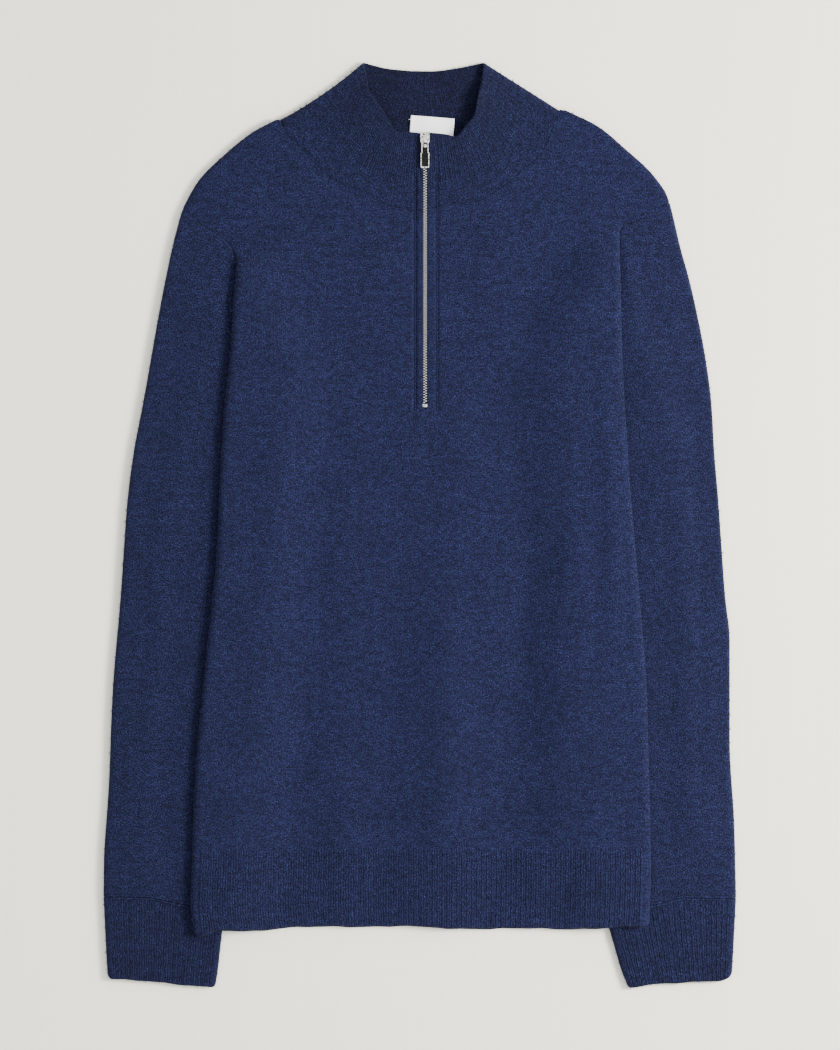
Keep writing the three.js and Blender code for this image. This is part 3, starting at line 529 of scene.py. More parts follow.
def knit_material(name, tone=1.0, on_uv=True, crisp=1.0, ribbed=1.0):
    """Brushed heather knit: tone is its lightness, crisp its grain, ribbed how much its ribs show."""
    material, nodes, links, shader = shader_of(name, 0.95)
    if on_uv:
        source = nodes.new("ShaderNodeUVMap")
        source.uv_map = "knit"
        vector = source.outputs["UV"]
    else:
        vector = nodes.new("ShaderNodeTexCoord").outputs["Object"]
    grain = noise_of(nodes, links, vector, 860.0, 2.5, (1.0, 0.85, 1.0))
    fibres = noise_of(nodes, links, vector, 380.0, 4.0, (1.2, 1.9, 1.0))
    flecks = noise_of(nodes, links, vector, 1150.0, 1.0, (0.9, 1.0, 1.0))
    clumps = noise_of(nodes, links, vector, 150.0, 3.0, (1.0, 1.4, 1.0))
    patches = noise_of(nodes, links, vector, 30.0, 2.0)
    dark, mid, light, bright, plum = (tuple(c * tone for c in yarn) for yarn in YARN.values())
    lowest, highest = 0.5 - 0.09 / crisp, 0.505 + 0.095 / crisp
    base = ramp_of(nodes, links, grain, (lowest, *dark), (highest, *light), (0.503, *mid))
    violet = ramp_of(nodes, links, fibres, (0.40, *dark), (0.64, *plum), (0.51, *mid))
    colour = blended(nodes, links, "MIX", 0.4, base, violet)
    lit = ramp_of(nodes, links, flecks, (0.58, 0, 0, 0), (0.74, 1, 1, 1))
    colour = blended(nodes, links, "MIX", lit, colour, (*bright, 1))
    dull = ramp_of(nodes, links, clumps, (0.36, 0.66, 0.66, 0.68), (0.62, 1.14, 1.13, 1.12))
    colour = blended(nodes, links, "MULTIPLY", 1.0, colour, dull)
    shade = ramp_of(nodes, links, patches, (0.32, 0.80, 0.81, 0.82), (0.68, 1.0, 1.0, 1.0))
    colour = blended(nodes, links, "MULTIPLY", 1.0, colour, shade)
    height = grain
    if on_uv:
        stripe, depth = rib_stripes(nodes, links, vector)
        depth = maths(nodes, links, "MULTIPLY", depth, ribbed)
        # Painted shade: the grooves between the stitch columns are darkened to 0.82 of the yarn colour.
        dip = ramp_of(nodes, links, stripe, (0.0, 0.82, 0.82, 0.85), (0.6, 1.05, 1.05, 1.04))
        colour = blended(nodes, links, "MULTIPLY", depth, colour, dip)
        relief = maths(nodes, links, "MULTIPLY", stripe, 0.75)
        relief = maths(nodes, links, "MULTIPLY", relief, depth)
        height = maths(nodes, links, "ADD", relief, grain)
    links.new(colour, shader.inputs["Base Color"])
    shader.inputs["Specular IOR Level"].default_value = 0.15
    shader.inputs["Sheen Weight"].default_value = 0.06
    shader.inputs["Sheen Roughness"].default_value = 0.4
    shader.inputs["Sheen Tint"].default_value = (0.6, 0.6, 1.0, 1)
    add_bump(nodes, links, shader, height, 1.3 * crisp, 0.9 * MM)
    return material


knit = knit_material("knit")
sleeve_knit = knit_material("sleeve_knit", crisp=1.5)
rib_knit = knit_material("rib_knit", 0.88)
# The collar's inner face is the rib knit at 0.6 of its tone: painted shade where the back of the collar lies
# in shadow.
rib_inside = knit_material("rib_inside", 0.6, ribbed=0.5)
# The armhole and neck seams' yarn is the knit at 0.8 of its tone: painted shade in the grooves where the
# pieces meet.
seam_knit = knit_material("seam_knit", 0.8, on_uv=False)
# The cuff seams' yarn is the knit at 1.15 of its tone: painted highlight on their raised ridges.
ridge_knit = knit_material("ridge_knit", 1.15, on_uv=False)
# The fibres are the knit at 1.5 of its tone: painted highlight of the light the nap catches along the
# outline.
nap = knit_material("nap", 1.5, on_uv=False)
print("yarn finishes:", knit.name, sleeve_knit.name, rib_knit.name, rib_inside.name, nap.name)

# %% [markdown]
# ## Metal
# Zip parts are cast and plated. The plating is bright, but noise darkens its colour in patches, a painted
# uneven reflection, and a bump bends its reflections, and finer scratches change how sharp they are. The
# teeth are stamped and polished, so they get neither the patches nor the bump. The deep places get nearly
# black metal as painted shade.


# %% Metal finish
def metal_material(name, colour, roughness, cast_bump_and_glint=0.6):
    """Polished plated metal with fine brushing; the last argument sets the depth of its bump and of its
    painted dark patches of reflection.
    """
    material, nodes, links, shader = shader_of(name, roughness, colour, 1.0)
    vector = nodes.new("ShaderNodeTexCoord").outputs["Object"]
    cast_and_glint = noise_of(nodes, links, vector, 620.0, 1.5)
    # Painted reflection: patches of the plating's colour are darkened, standing for its uneven reflections.
    dim = tuple(c * (1 - cast_bump_and_glint) for c in colour[:3])
    links.new(ramp_of(nodes, links, cast_and_glint, (0.40, *dim), (0.52, *colour[:3])), shader.inputs["Base Color"])
    add_bump(nodes, links, shader, cast_and_glint, cast_bump_and_glint, 0.6 * MM)
    scratches = noise_of(nodes, links, vector, 900.0, 3.0, (1.0, 0.15, 1.0))
    spread = nodes.new("ShaderNodeMapRange")
    spread.inputs["To Min"].default_value = roughness - 0.08
    spread.inputs["To Max"].default_value = roughness + 0.12
    links.new(scratches, spread.inputs["Value"])
    links.new(spread.outputs["Result"], shader.inputs["Roughness"])
    return material


steel = metal_material("steel", (0.97, 0.95, 0.90, 1), 0.16)
teeth_metal = metal_material("teeth_metal", (1.0, 0.98, 0.91, 1), 0.2, 0.0)
# Nearly black metal for painted shade in the hollow of the pull and in the slider's notches.
recess_metal = metal_material("recess_metal", (0.02, 0.02, 0.02, 1), 0.5)
print("metals:", steel.name, teeth_metal.name, recess_metal.name)

# %% [markdown]
# ## Woven cloth and thread
# The zip's tapes, the sewing thread and the label's ribbon are woven, far finer than the knit. A faint
# mottle with a shallow bump is all that shows of a weave at this size. The white ribbon gets a faint
# glow of its own, painted light that brightens it.


# %% Woven finish
def woven_material(name, colour, roughness=0.85, weave=1800.0, painted_glow=0.0):
    """Finely woven cloth with a faint mottle and relief; glow is painted light that brightens it."""
    material, nodes, links, shader = shader_of(name, roughness)
    vector = nodes.new("ShaderNodeTexCoord").outputs["Object"]
    threads = noise_of(nodes, links, vector, weave, 2.0)
    dim = tuple(c * 0.94 for c in colour)
    links.new(ramp_of(nodes, links, threads, (0.35, *dim), (0.65, *colour)), shader.inputs["Base Color"])
    shader.inputs["Specular IOR Level"].default_value = 0.2
    shader.inputs["Emission Color"].default_value = (*colour, 1)
    shader.inputs["Emission Strength"].default_value = painted_glow
    add_bump(nodes, links, shader, threads, 0.25, 0.2 * MM)
    return material


thread = woven_material("thread", (0.008, 0.012, 0.04), 0.6)
tape_cloth = woven_material("tape_cloth", (0.009, 0.012, 0.035))
# The label's ribbon glows a little: painted light that brightens it where it lies inside the collar.
satin = woven_material("satin", (0.98, 0.98, 1.0), 0.55, 2400.0, painted_glow=0.1)
print("woven finishes:", thread.name, tape_cloth.name, satin.name)


# %% Dressing a piece
def dress(piece, material, slot):
    """Gives a piece its material; slot is not used."""
    piece.data.materials.append(material)
    return piece


def finish_mesh(name, mesh_build, material, slot, body="garment", flat=False):
    """Turns a bmesh into a dressed piece that rides on its body."""
    bmesh.ops.recalc_face_normals(mesh_build, faces=mesh_build.faces)
    for face in mesh_build.faces:
        face.smooth = not flat
    mesh = bpy.data.meshes.new(name)
    mesh_build.to_mesh(mesh)
    mesh_build.free()
    piece = bpy.data.objects.new(name, mesh)
    bpy.context.scene.collection.objects.link(piece)
    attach(piece, body)
    return dress(piece, material, slot)


print("bodies to ride on: garment and pull")

# %% [markdown]
# ## Grooves of the placket
# The zip's tapes are stitched on through the front. Each line of stitches draws the soft knit down, so
# the placket reads as a flat band between two grooves, with a third across its foot. The grooves are
# part of the cloth's height, so the collar and the front share one function for them.

# %% Placket
PLACKET_LEFT = -3.5
PLACKET_RIGHT = 15.5
PLACKET_FOOT = 99.5
PLACKET_TOP = 318.0
GROOVE_DEEP = 1.6
GROOVE_HALF = 1.5
LEFT_PULL, RIGHT_PULL, FOOT_PULL = 1.15, 0.8, 0.7  # how hard each line of stitches draws in the knit


def placket_groove(x, y):
    """How far the knit is drawn down along the placket's stitching."""
    within = smooth((y - PLACKET_FOOT + 1) / 2) * smooth((PLACKET_TOP - y) / 12)
    lines = np.exp(-(((x - PLACKET_LEFT) / GROOVE_HALF) ** 2)) * LEFT_PULL
    lines = lines + np.exp(-(((x - PLACKET_RIGHT) / GROOVE_HALF) ** 2)) * RIGHT_PULL
    across = smooth((x - PLACKET_LEFT + 1) / 2) * smooth((PLACKET_RIGHT + 1 - x) / 2)
    foot = np.exp(-(((y - PLACKET_FOOT) / GROOVE_HALF) ** 2)) * across * FOOT_PULL
    return -GROOVE_DEEP * np.maximum(lines * within, foot)


print("placket:", PLACKET_RIGHT - PLACKET_LEFT, "mm wide")

# %% [markdown]
# ## Front and back
# The body is a front and a back joined at the sides. Where it lies on the sleeves it rises by the
# height of a sleeve, and comes down to the surface in the middle. Each half row runs from the rolled
# edge over the sleeve and down the slope to the middle. The front parts at the zip, and its hem is a
# band of ribs, so its columns are spaced by the ribs all the way up.


# %% Body rows
def corner_round(reach, radius=4.5):
    """How far a free end draws back near its corner, at a distance from it."""
    short = np.clip(radius - reach, 0, radius)
    return radius - np.sqrt(radius**2 - short**2)


def uneven(x, size=0.45):
    """The slight wave of a knitted edge."""
    return size * (np.sin(x / 5.3) * 0.6 + np.sin(x / 13.1 + 1) * 0.8 + np.sin(x / 2.9 + 2) * 0.25)


def zone_marks(side, y, middle):
    """The edge at y and the distances inwards at which the roll, the rise and the slope end."""
    edge = level(side["body"], "x", y)
    total = abs(middle - edge)
    over = 2.0
    if y < side["hidden"]["y"][0]:
        over = max(2.0, abs(straight_level(side["hidden"], "x", y) - edge) + 1.5 - ROLL)
    widths = np.array([ROLL, over, STEP])
    widths = widths * min(1, 0.85 * total / widths.sum())
    return edge, np.concatenate([[0], np.cumsum(widths), [total]])


def half_row(side, face, y, middle, inwards_share, rise):
    """Outer and inner points of half a body row; inwards_share runs from the edge to the middle."""
    edge, marks = zone_marks(side, y, middle)
    roll = straight_level(side["body"], "roll", y)
    lift_here = straight_level(side["body"], "lift", y)
    inwards = inwards_share * marks[4]
    turn = np.arccos(np.clip(1 - inwards / marks[1], 0, 1))
    rolled = inwards < marks[1]
    slope = np.clip((inwards - marks[2]) / (marks[3] - marks[2]), 0, 1)
    lift = lift_here * (1 - smooth(slope))
    x = edge - side["sign"] * inwards
    base = UNDER * lift
    top = mix(LAID, SIDE_TOP, lift) + crease_height(x, np.full_like(x, y))
    front = face == "front"
    seam = (base + top) / 2 + (GAP / 2 if front else -GAP / 2)
    wall_in = min(WALL, 0.6 * marks[1])
    inner_in = np.where(rolled, wall_in + (marks[1] - wall_in) * (1 - np.cos(turn)), inwards)
    inner_in = np.where(rolled, mix(inwards, inner_in, roll), inwards)
    if front:
        top = top + placket_groove(x, np.full_like(x, y))
    outer_z = top + rise if front else base
    inner_z = top - WALL if front else base + WALL
    bend = np.where(rolled, roll * (1 - np.sin(turn)), 0)
    outer = np.stack([x, np.full_like(x, y), mix(outer_z, seam, bend)], axis=-1)
    x_in = edge - side["sign"] * inner_in
    inner = np.stack([x_in, np.full_like(x, y), mix(inner_z, seam, bend)], axis=-1)
    return outer, inner


# %% Ribs of the hem
RIB_POINTS = np.array([0, 0.2, 0.5, 0.8])  # where the points lie across a rib of the body
FINE_RIB = np.array([0, 0.12, 0.3, 0.5, 0.7, 0.88])  # the same on the cuffs and the collar
RIB_LOOK = 0.38  # how much of a rib's height is in the mesh, the rest being relief in the finish
ROLL_ANGLES = np.radians([0, 20, 40, 60, 78])
HEM_LOW = -352.0
HEM_ROWS = (1, 0.985, 0.95, 0.8, 0.6, 0.4, 0.2, 0.06, 0.0)  # down the band, the edge being 1
BACK_SHOWS = 1.5  # how far the back's edge reaches below the front's


def rib_turns(ribs, points):
    """Turns across a number of ribs, with the same points on each."""
    turns = (np.arange(ribs)[:, None] + points[None, :]).ravel()
    return np.append(turns, ribs)


def shares_by_ribs(side, middle):
    """Shares of a half row, dense at the rolled edge and then with four points to each rib."""
    width = abs(middle - level(side["body"], "x", HEM_TOP))
    ribs = round((width - ROLL) / RIB_PITCH)
    rolled = (1 - np.cos(ROLL_ANGLES)) * ROLL / width
    turns = rib_turns(ribs, RIB_POINTS)
    return np.concatenate([rolled, mix(ROLL / width, 1, turns / ribs)]), turns


def hem_rows(side, face, middle, shares, rib):
    """The rows of the hem's rib band, from its lower edge up."""
    rows = []
    for down in HEM_ROWS:
        strength = min(1, (1 - down) * 15 + 0.5) * min(1, 0.3 + down * 12)
        pair = half_row(side, face, mix(HEM_TOP, HEM_LOW, down), middle, shares, rib * strength)
        foot = curve(HEM_EDGE["x"], HEM_EDGE["y"], pair[0][:, 0]) - (BACK_SHOWS if face == "back" else 0)
        reach = abs(pair[0][:, 0] - pair[0][0, 0])
        foot = foot + corner_round(reach) + uneven(pair[0][:, 0] * side["sign"])
        for points in pair:
            points[:, 1] = mix(HEM_TOP, foot, down)
        rows.append(pair)
    return rows


print("hem:", HEM_TOP - HEM_LOW, "mm high")


# %% Body panels
def body_panel(face, parting, meeting, edges, necks, count):
    """The front or back: two halves that meet at an x up to the parting, and above it end at edges."""
    walls = []
    below = parting - 1.2
    lower = np.concatenate([[HEM_TOP + 2], np.linspace(HEM_TOP + 7, below, count)])
    for side, edge, neck in zip(SIDES, edges, necks):
        shares, turns = shares_by_ribs(side, meeting)
        plain = np.zeros(len(ROLL_ANGLES))
        rib = np.concatenate([plain, (rib_height(turns) - 0.5) * RIB_LOOK])
        rows = hem_rows(side, face, meeting, shares, rib)
        start = len(rows) + len(lower) - 1
        top_y = side["body"]["y"][0]
        low_y = neck["y"].min()
        upper = np.concatenate([
            np.linspace(parting, low_y, 18 if low_y > parting + 1 else 2)[:-1],
            low_y + (top_y - low_y) * np.linspace(0, 1, 30) ** 1.6,
        ])
        for y in [*lower, *upper]:
            middle = meeting if y < parting else edge
            if y > low_y:
                middle = neck_x(neck, y)
            rows.append(half_row(side, face, y, middle, shares, rib * 0))
        outer = np.array([row[0] for row in rows])
        inner = np.array([row[1] for row in rows])
        count_up = np.broadcast_to(np.concatenate([plain, turns]), outer.shape[:2])
        strength = smooth((HEM_TOP + 3 - outer[..., 1]) / 6) * (count_up > 0)
        rims = {"foot": 0, "head": 0, "first": 0, "last": start}
        ribs = np.stack([count_up, strength], axis=-1)
        walls.append({"outer": outer, "inner": inner, "plan": outer[..., :2], "ribs": ribs, "rims": rims})
    return cloth(face, walls)


FRONT_NECKS = [NECK_LEFT, NECK_RIGHT]
SLIT_EDGES = [ZIP_X - SLIT_HALF, ZIP_X + SLIT_HALF]
front = body_panel("front", SLIT_END, ZIP_X, SLIT_EDGES, FRONT_NECKS, 56)
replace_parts(dress(front, knit, "knit"), "front_panel")
BACK_NECKS = [BACK_NECK_LEFT, BACK_NECK_RIGHT]
BACK_MIDDLE = 0.5
BACK_EDGES = [-0.5, 1.5]
BACK_PARTING = 328
back = body_panel("back", BACK_PARTING, BACK_MIDDLE, BACK_EDGES, BACK_NECKS, 40)
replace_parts(dress(back, knit, "knit"), "back_panel")

# %% [markdown]
# ## Sleeves and cuffs
# A sleeve is knitted flat and sewn into a tube, which lies flattened here, so it has a rolled edge on
# each side. Its first ring follows the armhole and its last one the cuff. A cuff is the same kind of
# tube in rib. A ring runs from the outer edge over the top to the inner edge and back underneath.


# %% Tubes
TURN = np.radians(np.linspace(-90, 90, 11))


def tube(name, steps, place, top, across, rise=None, ribbed=0):
    """A flattened tube: place(t, shares) on the ground, top(t, shares) its height, across 0 to 1."""
    outer, inner, lengths = [], [], []
    run = 0
    last = None
    level_run = np.full(len(across) - 2, np.pi / 2)
    angles = np.concatenate([TURN, level_run, TURN[::-1], -level_run, TURN[:1]])
    over = slice(len(TURN), len(TURN) + len(level_run))
    for t in steps:
        ground = place(t, np.linspace(0, 1, 17))
        length = line_length(ground)
        run += 0 if last is None else float(np.linalg.norm(ground[0] - last))
        last = ground[0]
        low = TUBE_ROLL / length
        flat = mix(low, 1 - low, across)[1:-1]
        for wall_in, rings in ((0, outer), (WALL, inner)):
            inwards = (wall_in + (TUBE_ROLL - wall_in) * (1 - np.cos(TURN))) / length
            share = np.concatenate([inwards, flat, (1 - inwards)[::-1], flat[::-1], inwards[:1]])
            half = top(t, share) / 2
            height = half + (half - wall_in) * np.sin(angles)
            if rise is not None:
                height[over] += rise(t)[1:-1]
            rings.append(np.concatenate([place(t, share), height[:, None]], axis=1))
        edges = np.concatenate([[0], np.cumsum(np.linalg.norm(np.diff(outer[-1], axis=0), axis=1))])
        lengths.append(np.stack([edges, np.full_like(edges, -run)], axis=-1))
    outer = np.array(outer)
    plan = outer[..., :2]
    ribs = np.zeros_like(plan)
    if ribbed:
        plan = np.array(lengths)
        high = ribbed * across[1:-1]
        turns = np.concatenate([0 * TURN, high, 0 * TURN + ribbed, high[::-1], [0]])
        ribs = np.stack([np.broadcast_to(turns, plan.shape[:2]), np.ones(plan.shape[:2])], axis=-1)
    part = {"outer": outer, "inner": np.array(inner), "plan": plan, "ribs": ribs}
    return cloth(name, [{**part, "rims": {"foot": 0, "head": 0}}])


print("points across a rolled edge:", len(TURN))


# %% Sleeves
def bend_of(table, share):
    """How far a table's line leaves the straight line between its ends."""
    first = np.array([table["x"][0], table["y"][0]])
    last = np.array([table["x"][-1], table["y"][-1]])
    return along(table, share) - mix(first, last, np.asarray(share)[:, None])


def sleeve_place(side):
    rows = len(side["sleeve"]["x"])

    def place(t, share):
        row = t * (rows - 1)
        outer = np.array([curve(np.arange(rows), side["sleeve"][key], row) for key in "xy"])
        start = np.array([side["armhole"]["x"][-1], side["armhole"]["y"][-1]])
        end = np.array([side["cuff_seam"]["x"][-1], side["cuff_seam"]["y"][-1]])
        line = mix(outer, mix(start, end, t), np.asarray(share)[:, None])
        line = line + bend_of(side["armhole"], share) * max(0, 1 - t / 0.3)
        line = line + bend_of(side["cuff_seam"], share) * max(0, (t - 0.85) / 0.15)
        return line + np.array([side["sign"] * 0.6, -0.3]) * max(0, 1 - t / 0.1)

    return place


def sleeve_top(side):
    """The height of a sleeve: a crown along it, and a few soft uneven folds."""
    sign = side["sign"]

    def top(t, share):
        crown = CROWN * smooth(t / 0.15) * (1 - smooth((t - 0.92) / 0.08))
        height = LAID + np.where(share < 0.5, crown * np.sin(share * 2 * np.pi) ** 2, 0)
        fold = 0.7 * np.exp(-(((share - 0.33 - 0.05 * np.sin(t * 7 + sign)) / 0.09) ** 2))
        hollow = -0.5 * np.exp(-(((share - 0.2 - 0.04 * np.sin(t * 9)) / 0.06) ** 2))
        broad = 1.9 * np.exp(-(((share - 0.44) / 0.13) ** 2)) * (sign > 0) * smooth((0.65 - t) / 0.2)
        return height + (fold + hollow + broad) * smooth(t / 0.12) * smooth((0.95 - t) / 0.1)

    return top


sleeves = []
for side in SIDES:
    steps = np.linspace(0, 1, 96)
    across = np.linspace(0, 1, 60)
    piece = tube("sleeve_cloth_" + side["name"], steps, sleeve_place(side), sleeve_top(side), across)
    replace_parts(dress(piece, sleeve_knit, "knit"), "sleeve_" + side["name"])
    sleeves.append(piece)


# %% Cuffs
def cuff(side):
    """A rib cuff, with one point more at each rib's groove and crest, and a soft free end."""

    def place(t, share):
        seam = along(side["cuff_seam"], share) + np.array([0, -CUFF_SEAM_GAP])
        line = mix(seam, along(side["cuff_end"], share), t)
        reach = np.minimum(share, 1 - share) * 100
        line[:, 1] += smooth((t - 0.8) / 0.2) * (corner_round(reach) + uneven(line[:, 0]))
        return line

    length = line_length(place(0.5, np.linspace(0, 1, 17)))
    ribs = round((length - 2 * TUBE_ROLL) / RIB_PITCH)
    turns = rib_turns(ribs, FINE_RIB)
    rib = (rib_height(turns) - 0.5) * RIB_LOOK
    steps = np.array([0, 0.02, 0.06, 0.15, 0.3, 0.45, 0.6, 0.75, 0.88, 0.95, 0.98, 1])
    ends = {0: 0.4, 1: 0.5, 0.02: 0.7, 0.98: 0.8}

    def top(t, share):
        return LAID - RIB / 2 - 0.5 * smooth((t - 0.9) / 0.1) + np.zeros_like(share)

    def rise(t):
        return rib * ends.get(t, 1)

    piece = tube("cuff_cloth_" + side["name"], steps, place, top, turns / ribs, rise, ribs)
    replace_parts(dress(piece, rib_knit, "rib"), "cuff_" + side["name"])
    return piece


cuffs = [cuff(side) for side in SIDES]

# %% [markdown]
# ## Collar
# The collar is one strip of rib sewn round the neck. It stands up a little at the zip, folds over at
# both shoulders and runs across the back, where its inner face shows. Its ribs fade into plain knit
# just above the seam, and fan out because the seam is longer than the top edge.


# %% Collar
RISE_MIDDLE = 6.5
RISE_ZIP = 5.2
COLLAR_RIBS = 28
BACK_RIBS = 32
COLLAR_ROLL = 6.0
FOLD_BOW = 2.6
COLLAR_HIGH = 66.0
FOLD_ANGLES = np.radians(np.linspace(75, -75, 11))
FRONT_TURNS = rib_turns(COLLAR_RIBS, FINE_RIB)
BACK_TURNS = rib_turns(BACK_RIBS, FINE_RIB)
BACK_SEAM = {key: np.concatenate([BACK_NECK_LEFT[key], BACK_NECK_RIGHT[key][::-1]]) for key in "xy"}


def collar_fade(up):
    """Strength of the ribs, which fade into plain knit above the seam."""
    return float(smooth((up - 0.12) / 0.36))


def collar_rise(turn, up):
    height = RISE_MIDDLE * smooth(turn / 0.4)
    return up**1.3 * (height - (RISE_MIDDLE - RISE_ZIP) * smooth((turn - 0.4) / 0.6))


def bowed(place, left, share, up):
    bow = FOLD_BOW * 4 * up * (1 - up) * share if left else np.zeros_like(share)
    return place + np.stack([0.5 * bow, -0.85 * bow], axis=-1)


def collar_front(side, turn, up):
    """Points of the collar's front; turn runs from the fold at the shoulder (0) to the zip (1)."""
    shift = np.stack([-side["sign"] * 0.35 * (1 - turn), np.full_like(turn, 0.45)], axis=-1)
    place = mix(along(side["neck"], turn) + shift, along(side["collar_top"], turn), up)
    return bowed(place, side is LEFT, (1 - turn) ** 3, up)


def collar_back(turn, up):
    """Points of the collar's back; turn runs from the left fold (0) to the right one (1)."""
    shift = np.stack([0.35 * (1 - 2 * turn), mix(0.45, 0.6, np.sin(turn * np.pi))], axis=-1)
    place = mix(along(BACK_SEAM, turn) + shift, along(COLLAR_TOP_BACK, turn), up)
    return bowed(place, True, (1 - turn) ** 3, up)


def collar_row(up):
    """One row as outer and inner points: left front, left fold, back, right fold, right front."""
    fine = np.linspace(0, 1, 33)
    rib_share = collar_fade(up)
    front_rib = (rib_height(FRONT_TURNS) - 0.5) * RIB_LOOK * rib_share
    back_rib = (rib_height(BACK_TURNS) - 0.5) * RIB_LOOK * rib_share
    back_long = line_length(collar_back(fine, up))
    pairs = {}
    for side in SIDES:
        front_long = line_length(collar_front(side, fine, up))
        turn = mix(COLLAR_ROLL / front_long, 1, FRONT_TURNS / COLLAR_RIBS)
        ground = collar_front(side, turn, up)
        z = LAID + collar_rise(turn, up) + placket_groove(ground[:, 0], ground[:, 1])
        flat = [
            np.column_stack([ground, z + front_rib]),
            np.column_stack([ground, z + front_rib * 0.3 - WALL]),
        ]
        folds = []
        for wall_in in (0, WALL):
            inwards = wall_in + (COLLAR_ROLL - wall_in) * (1 - np.cos(FOLD_ANGLES))
            over = collar_front(side, inwards / front_long, up)
            under = inwards / back_long
            below = collar_back(under if side is LEFT else 1 - under, up)
            blend = smooth((np.degrees(FOLD_ANGLES) + 20) / 40)[:, None]
            z_fold = LAID / 2 + (LAID / 2 - wall_in) * np.sin(FOLD_ANGLES)
            folds.append(np.column_stack([mix(below, over, blend), z_fold]))
        pairs[side["name"]] = (flat, folds)
    low = COLLAR_ROLL / back_long
    ground = collar_back(mix(low, 1 - low, BACK_TURNS / BACK_RIBS), up)
    behind = [
        np.column_stack([ground, np.full(len(ground), 0.05)]),
        np.column_stack([ground, WALL + back_rib]),
    ]
    rows = []
    for face in (0, 1):
        left_flat, left_fold = (part[face] for part in pairs["left"])
        right_flat, right_fold = (part[face] for part in pairs["right"])
        rows.append(np.concatenate([left_flat[::-1], left_fold, behind[face], right_fold[::-1], right_flat]))
    return rows


print("collar ribs:", 2 * COLLAR_RIBS, "in front,", BACK_RIBS, "behind")

# %% The collar's wall
collar_ups = np.array([
    0, 0.03, 0.08, 0.14, 0.2, 0.27, 0.34, 0.42, 0.5, 0.58, 0.66, 0.74, 0.82, 0.9, 0.96, 0.985, 1,
])
collar_pairs = [collar_row(up) for up in collar_ups]
collar_outer = np.array([pair[0] for pair in collar_pairs])
collar_inner = np.array([pair[1] for pair in collar_pairs])
grid_size = collar_outer.shape[:2]
fold_u = np.arange(1, len(FOLD_ANGLES) + 1) * RIB_PITCH * 0.34
front_u = FRONT_TURNS * RIB_PITCH
collar_u = np.concatenate([-front_u[::-1], fold_u, BACK_TURNS * RIB_PITCH, -fold_u, front_u])
collar_v = collar_ups[:, None] * COLLAR_HIGH
collar_plan = np.stack([np.broadcast_to(part, grid_size) for part in (collar_u, collar_v)], axis=-1)
no_ribs = 0 * FOLD_ANGLES
collar_count = np.concatenate([FRONT_TURNS[::-1], no_ribs, BACK_TURNS, no_ribs, FRONT_TURNS])
fading = np.array([[collar_fade(up)] for up in collar_ups])
collar_ribs = np.stack([np.broadcast_to(part, grid_size) for part in (collar_count, fading)], axis=-1)
collar_wall = {
    "outer": collar_outer, "inner": collar_inner, "plan": collar_plan, "ribs": collar_ribs,
    "rims": {"foot": 0, "head": 0, "first": 0, "last": 0},
}
collar = cloth("collar_cloth", [collar_wall], lip=0.4)
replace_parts(dress(collar, rib_knit, "rib"), "collar")
# The inner faces take the darker rib finish: painted shade on the collar's inside, which shows at the back.
collar.data.materials.append(rib_inside)
face_count = (grid_size[0] - 1) * (grid_size[1] - 1)
for polygon in collar.data.polygons[face_count : 2 * face_count]:
    polygon.material_index = 1
print("faces with the inner finish:", face_count)


# %% [markdown]
# ## Heights on the finished cloth
# What is sewn on the cloth follows its surface, so the height of the front at any point is worked out
# from the same rows: the body's slope and creases, or the collar's rise beside the zip.


# %% Surface height
NECK_Y = 274.0  # the collar's foot and top beside the zip
COLLAR_Y = 341.0


def zip_up(y):
    """How far the collar has risen beside the zip at the height y."""
    return RISE_ZIP * max(0.0, (y - NECK_Y) / (COLLAR_Y - NECK_Y)) ** 1.3


def front_height(x, y):
    """Height of the front's outer face."""
    side = LEFT if x < ZIP_X else RIGHT
    edge, marks = zone_marks(side, y, ZIP_X)
    inwards = abs(x - edge)
    lift = straight_level(side["body"], "lift", y)
    lift = lift * (1 - smooth((inwards - marks[2]) / (marks[3] - marks[2])))
    return float(mix(LAID, SIDE_TOP, lift) + crease_height(np.array([x]), np.array([y]))[0] + zip_up(y))


print("front height at the chest:", round(front_height(-60, 150), 2), "mm")

# %% [markdown]
# ## Thread and yarn
# A thread can be a curve with a bevel, or rings of vertices that are skinned. Rings are used here, since
# they can shrink towards the ends and so close the thread as its cut end does. Stitches and teeth are
# skinned from rings in the same way.


# %% Rings to skin
def skin(mesh_build, rings):
    """Faces between rings of vertices that follow each other, and a cap at each end."""
    for first, second in zip(rings, rings[1:]):
        for k in range(len(first)):
            n = (k + 1) % len(first)
            mesh_build.faces.new([first[k], first[n], second[n], second[k]])
    mesh_build.faces.new(rings[0][::-1])
    mesh_build.faces.new(rings[-1])


def ring_at(mesh_build, place, way, radius):
    """A ring of six vertices round a place, square to a way; both in mm."""
    turn = Vector(way).to_track_quat("Z", "Y").to_matrix().to_4x4()
    matrix = Matrix.Translation(Vector(place) * MM) @ turn
    made = bmesh.ops.create_circle(mesh_build, radius=radius * MM, segments=6, matrix=matrix)
    return made["verts"]


def yarn(name, points, radius, material, slot):
    """A round thread along points in mm, with closed ends."""
    path = [Vector(p) for p in points]
    mesh_build = bmesh.new()
    rings = []
    for i, place in enumerate(path):
        ahead = path[min(i + 1, len(path) - 1)] - path[max(i - 1, 0)]
        thin = 0.45 if i in (0, len(path) - 1) else 1.0
        rings.append(ring_at(mesh_build, place, ahead, radius * thin))
    skin(mesh_build, rings)
    return finish_mesh(name, mesh_build, material, slot)


print("rings of six points ready")

# %% [markdown]
# ## Seams
# Linked seams in a fine knit show as one or two raised lines of yarn. The armhole seam runs down to
# where the body starts to lie over the sleeve, the collar has one round its foot, and each cuff has two.
# Each is a thread laid along a line of the pattern at the cloth's own height, so it can't float off.


